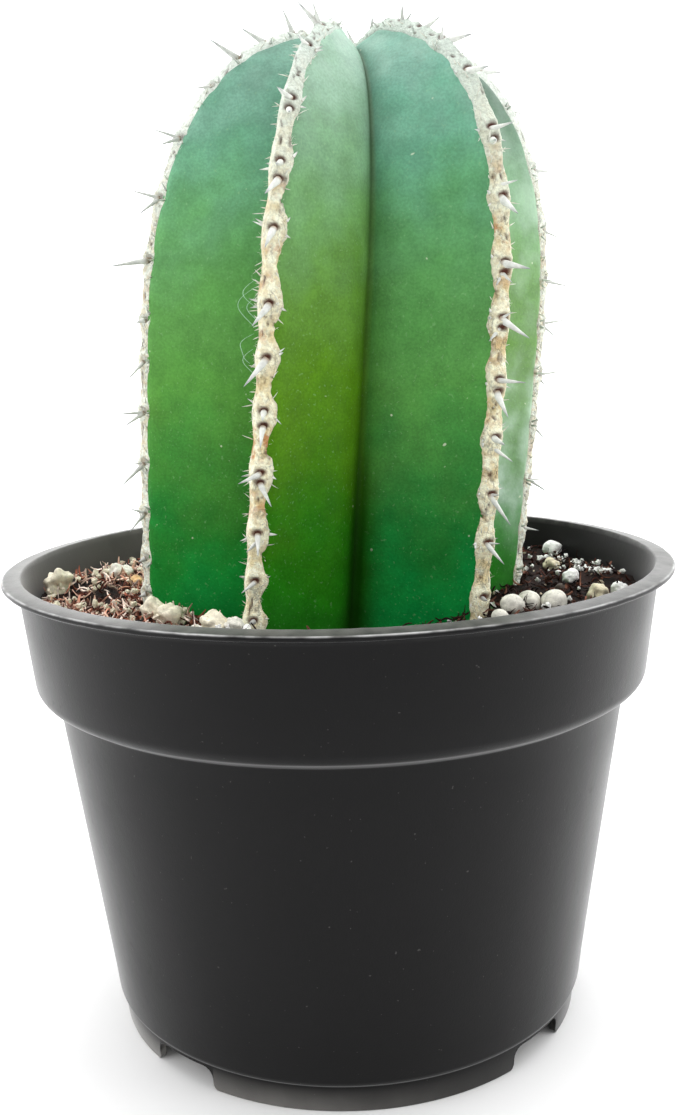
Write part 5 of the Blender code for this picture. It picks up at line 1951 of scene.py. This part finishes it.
def shred_model(cuts: tuple[float, ...] = (-0.55, -0.1, 0.3, 0.7), narrowing: float = 0.55,
                thinning: float = 0.45, sway: float = 0.18) -> Piece:
    """Models a shred of bark, 2 long, 2 wide and 2 thick before it is sized.

    Args:
        cuts: where its length is divided.
        narrowing: how much narrower its ends are, as a share.
        thinning: how much thinner they are.
        sway: how far it winds to both sides.

    Returns:
        The shred.
    """
    select()
    bpy.ops.mesh.primitive_cube_add(size=2.0)
    shred = bpy.context.object
    for cut in cuts:
        edit_all(shred)
        bpy.ops.mesh.bisect(plane_co=(cut, 0.0, 0.0), plane_no=(1.0, 0.0, 0.0))
    bpy.ops.object.mode_set(mode="OBJECT")
    for vertex in shred.data.vertices:
        x, y, _ = vertex.co
        vertex.co.y = y * (1.0 - narrowing * abs(x) ** 2.2) + sway * math.sin(3.1 * x)
        vertex.co.z *= 1.0 - thinning * abs(x) ** 2
    return shred


@dataclass
class Mix:
    """The potting mix: its ground, stones, pebbles, perlite, bark shreds and peat crumbs.

    A hill's row gives its azimuth in degrees, and its distance from the axis, width and rise in millimetres.
    """

    form: StemForm
    pot: Pot
    level: float = 100.0 * MM
    relief: float = 0.9 * MM
    lump_size: float = 11.0 * MM
    crumb_size: float = 4.5 * MM
    dip: float = 4.6 * MM
    dip_start: float = 45.0 * MM
    dip_end: float = 27.0 * MM
    calm_start: float = 41.9 * MM
    calm_end: float = 49.9 * MM
    calm_share: float = 0.3
    gap: float = 0.3 * MM
    grain_height: float = 0.55 * MM
    grain_sizes: tuple[float, float] = (1.9 * MM, 0.9 * MM)
    grain_start: tuple[float, float] = (10.0 * MM, 20.0 * MM)
    side_top: float = 4.0 * MM
    turn_steps: int = 300
    ring_steps: int = 120
    stone_sink: float = 0.2
    stones_behind: int = 9
    crumb_count: int = 1900
    crumb_pale: Colour = linear(196, 180, 158)
    crumb_pale_from: float = 0.93
    light_side: tuple[float, float] = (math.radians(-165.0), math.radians(-32.0))
    light_side_gain: float = 1.5
    seed: int = 31
    hills: tuple[tuple[float, float, float, float], ...] = (
        (-29.0, 50.5, 7.5, 2.4), (-51.0, 51.0, 7.5, 2.2), (47.0, 51.0, 7.0, 2.2), (-97.0, 60.0, 12.0, 1.8),
        (-101.0, 68.0, 6.0, 1.6), (62.0, 53.0, 7.0, 1.2), (95.0, 61.0, 11.0, 1.2), (126.0, 70.0, 6.0, 1.6))
    stones: tuple[Stone, ...] = (
        Stone(-93, 68.8, 3.3, 0.95, 0.34, Tone.CREAM), Stone(-84, 69.0, 1.1, 0.80, 0.10, Tone.PALE),
        Stone(-109, 59.5, 3.8, 0.75, 0.26, Tone.PALE), Stone(-101, 51.5, 1.9, 0.95, 0.22, Tone.TAN),
        Stone(-52, 51.0, 3.1, 0.80, 0.26, Tone.CREAM), Stone(-46, 49.8, 3.2, 0.90, 0.26, Tone.CREAM),
        Stone(-36.5, 52.0, 1.5, 0.70, 0.10, Tone.DARK), Stone(-41, 54.0, 1.1, 0.70, 0.10, Tone.GREY),
        Stone(-31.5, 49.6, 3.0, 0.85, 0.30, Tone.CREAM), Stone(-26, 49.5, 2.1, 0.90, 0.26, Tone.PALE),
        Stone(-34, 52.5, 1.8, 0.70, 0.18, Tone.PALE), Stone(-21, 51.5, 1.7, 0.80, 0.18, Tone.PALE),
        Stone(41, 51.5, 1.9, 0.85, 0.05, Tone.PALE), Stone(47, 50.6, 2.7, 0.85, 0.04, Tone.PALE),
        Stone(57.5, 49.5, 3.1, 0.85, 0.04, Tone.PALE), Stone(59.5, 54.8, 3.2, 0.85, 0.04, Tone.PALE),
        Stone(74.5, 61.4, 2.9, 0.80, 0.24, Tone.BEIGE), Stone(80.5, 66.3, 2.2, 0.80, 0.20, Tone.WHITE),
        Stone(91, 56.5, 2.3, 0.80, 0.20, Tone.WHITE), Stone(112, 60.0, 2.2, 0.85, 0.22, Tone.BEIGE),
        Stone(123, 70.0, 2.7, 0.80, 0.08, Tone.WHITE), Stone(84, 53.0, 1.6, 0.70, 0.12, Tone.DARK))
    reds: tuple[Colour, ...] = (linear(138, 80, 62), linear(104, 56, 44), linear(190, 138, 118),
                                linear(226, 196, 180), linear(72, 38, 32), linear(212, 174, 156),
                                linear(238, 218, 206))
    browns: tuple[Colour, ...] = (linear(50, 27, 22), linear(34, 20, 18), linear(74, 42, 34),
                                  linear(112, 74, 60), linear(26, 17, 16), linear(40, 22, 19))
    peats: tuple[Colour, ...] = (linear(54, 32, 26), linear(38, 23, 19), linear(76, 44, 35),
                                 linear(110, 68, 54), linear(28, 19, 17))

    def ground_at(self, x: Number, y: Number) -> Array:
        """Gives the mix's height at places on its surface.

        Args:
            x: the places' x.
            y: their y.

        Returns:
            The heights.
        """
        x, y = np.atleast_1d(x, y)
        radius = np.hypot(x - float(self.form.axis(self.form.widest_radius, self.level)), y)
        dip = self.dip * (1.0 - smooth_step(self.dip_end, self.dip_start, radius))
        calm = self.calm_share + (1.0 - self.calm_share) * smooth_step(self.calm_start, self.calm_end, radius)
        flat = np.zeros_like(x)
        lumps = noise_at(np.stack([x, y, flat], axis=-1), self.lump_size)
        crumbs = noise_at(np.stack([y, x, flat + self.lump_size], axis=-1), self.crumb_size)
        height = self.level - dip + self.relief * calm * (lumps + 0.5 * crumbs)
        for azimuth, distance, width, rise in self.hills:
            middle = around(math.radians(azimuth), distance * MM)
            away = (x - middle[0]) ** 2 + (y - middle[1]) ** 2
            height = height + rise * MM * np.exp(-away / (width * MM) ** 2)
        return height

    def stem_edge(self, azimuth: Array) -> Array:
        """Gives the stem's distance from the pot's axis at the mix's surface, at these azimuths.

        Args:
            azimuth: the azimuths.

        Returns:
            The distances.
        """
        form = self.form
        radius = float(form.shaft_radius(self.level))
        middle = np.array([form.axis(radius, self.level), 0.0, 0.0])
        corners = []
        for rib in range(len(form.azimuths)):
            crest = radius * form.reaches[rib] + 0.6 * form.crest_half_width
            corners.append(around(form.azimuth(rib, self.level), crest) + middle)
            corners.append(around(form.valley(rib, self.level), radius * form.valley_share) + middle)
        share = np.linspace(0.0, 1.0, 24)[:, None]
        path = np.concatenate([start + (end - start) * share
                               for start, end in zip(corners, corners[1:] + corners[:1])])
        at = np.arctan2(path[:, 0], -path[:, 1])
        order = np.argsort(at)
        reach = np.hypot(path[:, 0], path[:, 1])
        return np.interp((azimuth + np.pi) % TAU - np.pi, at[order], reach[order], period=TAU)

    def wall_at(self, height: float) -> float:
        """Gives the pot's inner radius at a height."""
        inside = np.array(self.pot.wall_inside())
        return float(np.interp(height, inside[:, 1], inside[:, 0]))

    def build(self, effects: Effects) -> None:
        """Builds the mix's pieces and hands them over.

        Args:
            effects: the shared node groups.
        """
        draw = random.Random(self.seed)
        hand_over(self._ground(), PeatGround().make(effects), "soil")
        for pieces, finish in (
                (self._stones(draw), Mineral("stone", 0.72, 0.3, 700.0, 0.74, 1.12, 0.16 * MM)),
                (self._perlite(draw), Mineral("perlite", 0.85, 0.2, 1500.0, 0.92, 1.06, 0.12 * MM)),
                (self._shreds(draw), Mineral("bark", 0.88, 0.2, 900.0, 0.66, 1.22, 0.10 * MM)),
                (self._crumbs(draw), Mineral("peat_crumb", 0.92, 0.15, 1400.0, 0.7, 1.2, 0.08 * MM))):
            hand_over(pieces, finish.make(effects), "soil")

    def _ground(self) -> Piece:
        """Builds the mix's body: its fine uneven surface, and its plain sides and base against the pot.

        Returns:
            The ground.
        """
        turn = np.linspace(0.0, TAU, self.turn_steps, endpoint=False)[None, :]
        radius = np.linspace(0.0, self.wall_at(self.level) - self.gap, self.ring_steps)[:, None] + 0.0 * turn
        points = around(turn, radius)
        points[..., 2] = self.ground_at(points[..., 0].ravel(), points[..., 1].ravel()).reshape(radius.shape)
        large, small = self.grain_sizes
        grain = noise_at(points, large, 3.0) + 0.6 * noise_at(points, small, 7.0)
        points[..., 2] += self.grain_height * grain * smooth_step(*self.grain_start, radius)
        sides = [around(turn, inner - self.gap + 0.0 * turn, height + self.gap)
                 for inner, height in reversed(self.pot.wall_inside()) if height < self.level - self.side_top]
        base = around(turn, 0.0 * turn, sides[-1][0, 0, 2])
        return grid_piece("mix_ground", np.concatenate([points, *sides, base]), {})

    def _free_place(self, draw: random.Random, low: float, high: float, margin: float,
                    nearest: float = 0.0) -> tuple[float, float]:
        """Draws a place on the open surface between the stem and the wall.

        Args:
            draw: source of chance.
            low: first azimuth, in degrees.
            high: last azimuth, in degrees.
            margin: distance kept from stem and wall.
            nearest: least distance from the pot's axis.

        Returns:
            Its azimuth and its distance from the pot's axis.
        """
        azimuth = math.radians(draw.uniform(low, high))
        inner = max(float(self.stem_edge(np.array([azimuth]))[0]) + margin, nearest)
        outer = self.wall_at(self.level) - self.gap - margin
        return azimuth, math.sqrt(draw.uniform(inner ** 2, outer ** 2))

    def _lay(self, heap: Copies, draw: random.Random, place: tuple[float, float],
             sizes: tuple[float, float, float], colour: Colour, lift: float, tilt: float,
             lumpiness: float = 0.0, curl: float = 0.0) -> None:
        """Lays one small body on the surface.

        Args:
            heap: the copies that it goes to.
            draw: source of chance.
            place: its azimuth and its distance from the axis.
            sizes: half its length, width and thickness.
            colour: its colour.
            lift: height of its middle over the surface.
            tilt: how far it leans at most.
            lumpiness: share by which its surface swells.
            curl: how far its ends bend up.
        """
        point = around(*place)
        point[2] = self.ground_at(point[0], point[1])[0] + lift
        turn = (Matrix.Rotation(draw.uniform(0.0, TAU), 3, "Z")
                @ Matrix.Rotation(draw.uniform(-tilt, tilt), 3, "Y")
                @ Matrix.Rotation(draw.uniform(-tilt, tilt), 3, "X"))
        heap.drop(point, turn, sizes, colour, lumpiness, draw.uniform(0.0, 90.0), curl)

    def _stones(self, draw: random.Random) -> Piece:
        """Builds the stones and pebbles, and a few more behind the stem.

        Args:
            draw: source of chance.

        Returns:
            The stones.
        """
        heap = Copies(ball(4))
        for stone in self.stones:
            width = stone.half_width * MM
            sizes = (width, width * draw.uniform(0.75, 0.95), width * stone.height_share)
            self._lay(heap, draw, (math.radians(stone.azimuth), stone.distance * MM), sizes, stone.tone.value,
                      sizes[2] * (1.0 - 2.0 * self.stone_sink), 0.15, stone.lumpiness * 0.8)
        for _ in range(self.stones_behind):
            place = self._free_place(draw, 135.0, 250.0, 3.2 * MM)
            width = draw.uniform(1.6, 2.6) * MM
            tone = draw.choice((Tone.WHITE, Tone.BEIGE, Tone.PALE, Tone.CREAM))
            self._lay(heap, draw, place, (width, width * 0.85, width * 0.75), tone.value, width * 0.3, 0.2,
                      draw.uniform(0.05, 0.18))
        return heap.finish("stones", 60.0)

    def _perlite(self, draw: random.Random) -> Piece:
        """Builds the white grains: a cluster at the right, a pile at a rib's foot, and a few all round.

        Args:
            draw: source of chance.

        Returns:
            The grains.
        """
        heap = Copies(ball(2))
        white, cream = (Tone.WHITE.value,), (Tone.CREAM.value,)
        for zone in (Zone(93.0, 122.0, 60, 0.60, white, 60.0, 0.8),
                     Zone(60.0, 128.0, 30, 0.55, white, 0.0, 0.8),
                     Zone(-36.0, -20.0, 30, 1.0, white, 45.0, 0.7),
                     Zone(-125.0, -46.0, 115, 0.68, cream, 0.0, 1.8),
                     Zone(140.0, 240.0, 40, 0.7, white, 0.0, 0.7),
                     Zone(36.0, 60.0, 16, 0.7, white, 0.0, 0.7)):
            for _ in range(zone.count):
                place = self._free_place(draw, zone.low, zone.high, 1.4 * MM, zone.nearest * MM)
                width = zone.size * draw.uniform(0.6, 1.3) * MM
                colour = dimmed(zone.colours[0], draw.uniform(0.86, 1.0))
                sizes = (width, width * draw.uniform(0.7, 1.0), width * 0.85)
                self._lay(heap, draw, place, sizes, colour, width * draw.uniform(0.2, 0.7) + zone.lift * MM,
                          1.5, 0.45)
        return heap.finish("perlite_grains", 34.0)

    def _shreds(self, draw: random.Random) -> Piece:
        """Builds the bark: reddish curved shreds at the left, darker bits at the right and behind.

        Args:
            draw: source of chance.

        Returns:
            The shreds.
        """
        heap = Copies(shred_model())
        for zone in (Zone(-165.0, -32.0, 1400, 2.3, self.reds), Zone(28.0, 135.0, 420, 2.1, self.browns),
                     Zone(135.0, 195.0, 190, 2.2, self.browns), Zone(-34.0, 30.0, 60, 1.6, self.browns)):
            for _ in range(zone.count):
                half = zone.size * draw.uniform(0.35, 1.15) * MM
                place = self._free_place(draw, zone.low, zone.high, 0.8 * MM + 0.45 * half)
                sizes = (half, draw.uniform(0.11, 0.34) * MM, draw.uniform(0.08, 0.18) * MM)
                shade = draw.uniform(0.7, 1.6)
                self._lay(heap, draw, place, sizes, dimmed(draw.choice(zone.colours), shade),
                          draw.uniform(0.1, 2.0) * MM, 0.9, 0.0, draw.uniform(-0.8, 0.8))
        return heap.finish("bark_shreds", 40.0)

    def _crumbs(self, draw: random.Random) -> Piece:
        """Builds the crumbs of peat and small bark, all over the surface.

        Args:
            draw: source of chance.

        Returns:
            The crumbs.
        """
        heap = Copies(ball(1))
        for _ in range(self.crumb_count):
            place = self._free_place(draw, -180.0, 180.0, 0.6 * MM)
            width = draw.uniform(0.3, 0.95) * MM
            colour = draw.choice(self.peats) if draw.random() < self.crumb_pale_from else self.crumb_pale
            if self.light_side[0] < place[0] < self.light_side[1]:
                colour = tuple(min(1.0, part) for part in dimmed(colour, self.light_side_gain))
            sizes = (width, width * draw.uniform(0.5, 0.9), width * draw.uniform(0.4, 0.8))
            self._lay(heap, draw, place, sizes, colour, draw.uniform(0.0, 0.6) * MM, 1.2, 0.25)
        return heap.finish("peat_crumbs", 30.0)


@dataclass(frozen=True)
class Lamp:
    """A soft rectangular light, which faces its target."""

    name: str
    place: tuple[float, float, float]
    target: tuple[float, float, float]
    sizes: tuple[float, float]
    watts: float

    def hang(self) -> None:
        """Hangs the light in the scene."""
        light = bpy.data.lights.new(self.name, "AREA")
        light.shape = "RECTANGLE"
        light.size, light.size_y = self.sizes
        light.energy = self.watts
        lamp = bpy.data.objects.new(self.name, light)
        lamp.location = self.place
        lamp.rotation_euler = (Vector(self.target) - Vector(self.place)).to_track_quat("-Z", "Y").to_euler()
        bpy.context.scene.collection.objects.link(lamp)


@dataclass
class Studio:
    """The pale floor that sweeps up behind, the soft lights and the camera."""

    camera_height: float = 161.1 * MM
    camera_distance: float = 282.0 * MM
    pitch: float = 0.1837
    yaw: float = 0.0016
    roll: float = -0.0282
    focal_pixels: float = 1190.0
    picture_height: float = 1115.0
    sensor: float = 36.0
    nearest: float = 0.01
    floor_reach: float = 3.0
    floor_front: float = 1.6
    sweep_start: float = 0.9
    sweep_radius: float = 0.9
    wall_height: float = 2.4
    paper: tuple[Colour, Colour] = ((0.93, 0.93, 0.93), (0.95, 0.95, 0.95))
    glow: float = 0.75
    glow_span: tuple[float, float] = (0.6, 1.3)
    air: tuple[float, float] = (0.38, 1.0)
    lamps: tuple[Lamp, ...] = (
        Lamp("left_softbox", (-0.62, -0.28, 0.34), (0.0, 0.0, 0.13), (0.55, 0.75), 2.9),
        Lamp("right_softbox", (0.66, -0.12, 0.34), (0.0, 0.0, 0.13), (0.50, 0.75), 2.9),
        Lamp("top_softbox", (0.05, -0.18, 0.78), (0.0, 0.0, 0.12), (0.75, 0.65), 2.9),
        Lamp("front_fill", (0.08, -0.95, 0.42), (0.0, 0.0, 0.14), (0.8, 0.6), 0.75),
        Lamp("backdrop_light", (0.0, 0.35, 1.5), (0.0, 2.0, 0.75), (2.6, 0.8), 30.0),
        Lamp("floor_light", (0.0, 0.45, 1.1), (0.0, 1.1, 0.0), (2.6, 0.6), 16.0))

    def build(self, effects: Effects) -> None:
        """Builds floor, surroundings, lights and camera.

        Args:
            effects: the shared node groups.
        """
        self._floor(effects)
        self._world()
        for lamp in self.lamps:
            lamp.hang()
        self._camera()
        bpy.context.scene.view_settings.view_transform = "Standard"

    def _floor(self, effects: Effects) -> None:
        """Builds the floor with its curved sweep up to a wall behind, which glows white far from the pot.

        Args:
            effects: the shared node groups.
        """
        profile = [(-self.floor_front, 0.0), (self.sweep_start, 0.0)]
        profile += arc((self.sweep_start, self.sweep_radius), self.sweep_radius, -84.0, 0.0, 15)
        profile += [(self.sweep_start + self.sweep_radius, self.wall_height)]
        across = np.linspace(-self.floor_reach, self.floor_reach, 9)
        points = np.array([[(x, y, z) for x in across] for y, z in profile])
        floor = grid_piece("floor", points, {}, shell=Shell.OPEN)
        paint = Paint("paper_white", effects)
        drift = paint.add("TexNoise", {"Vector": paint.place(), "Scale": 1.5}).outputs[0]
        flat = paint.vector("MULTIPLY", {0: paint.place(), 1: (1.0, 1.0, 0.0)})
        far = paint.span(paint.vector("LENGTH", {0: flat}), *self.glow_span)
        white = paint.mix(far, (0.0, 0.0, 0.0), (1.0, 1.0, 1.0))
        glow = {"Emission Color": white, "Emission Strength": self.glow}
        floor.data.materials.append(paint.finish(paint.mix(drift, *self.paper), 0.95, 0.05, others=glow))

    def _world(self) -> None:
        """Makes the surroundings white to the camera, and a softer grey as light."""
        world = bpy.data.worlds.new("studio_air")
        world.use_nodes = True
        sheet = Sheet(world.node_tree)
        seen = sheet.add("LightPath").outputs["Is Camera Ray"]
        strength = sheet.span(seen, 0.0, 1.0, *self.air, "LINEAR")
        sheet.feed(world.node_tree.nodes["Background"], {"Color": (1.0, 1.0, 1.0), "Strength": strength})
        bpy.context.scene.world = world

    def _camera(self) -> None:
        """Sets the camera where the photograph was taken from."""
        ahead = math.cos(self.pitch)
        forward = Vector((math.sin(self.yaw) * ahead, math.cos(self.yaw) * ahead, -math.sin(self.pitch)))
        level = Vector((math.cos(self.yaw), -math.sin(self.yaw), 0.0))
        upright = level.cross(forward)
        right = level * math.cos(self.roll) + upright * math.sin(self.roll)
        up = upright * math.cos(self.roll) - level * math.sin(self.roll)
        camera = bpy.data.objects.new("camera", bpy.data.cameras.new("camera"))
        turn = Matrix((right, up, -forward)).transposed().to_4x4()
        camera.matrix_world = Matrix.Translation((0.0, -self.camera_distance, self.camera_height)) @ turn
        camera.data.sensor_width = self.sensor
        camera.data.lens = self.focal_pixels / self.picture_height * self.sensor
        camera.data.clip_start = self.nearest
        bpy.context.scene.collection.objects.link(camera)
        bpy.context.scene.camera = camera


def main() -> None:
    """Builds every sub-assembly in order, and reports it."""
    logging.basicConfig(level=logging.INFO, format="%(name)s %(message)s")
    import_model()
    form = StemForm()
    areoles = Areoles()
    effects = Effects()
    pot = Pot()
    pot.build(effects)
    Stem(form).build(effects)
    spines = Spines(form, areoles)
    felt = Felt(form, areoles, spines)
    felt.build(effects)
    felt.build_fibres(effects)
    Threads(form).build(effects)
    spines.build(effects)
    Mix(form, pot).build(effects)
    Studio().build(effects)


if __name__ == "__main__":
    main()
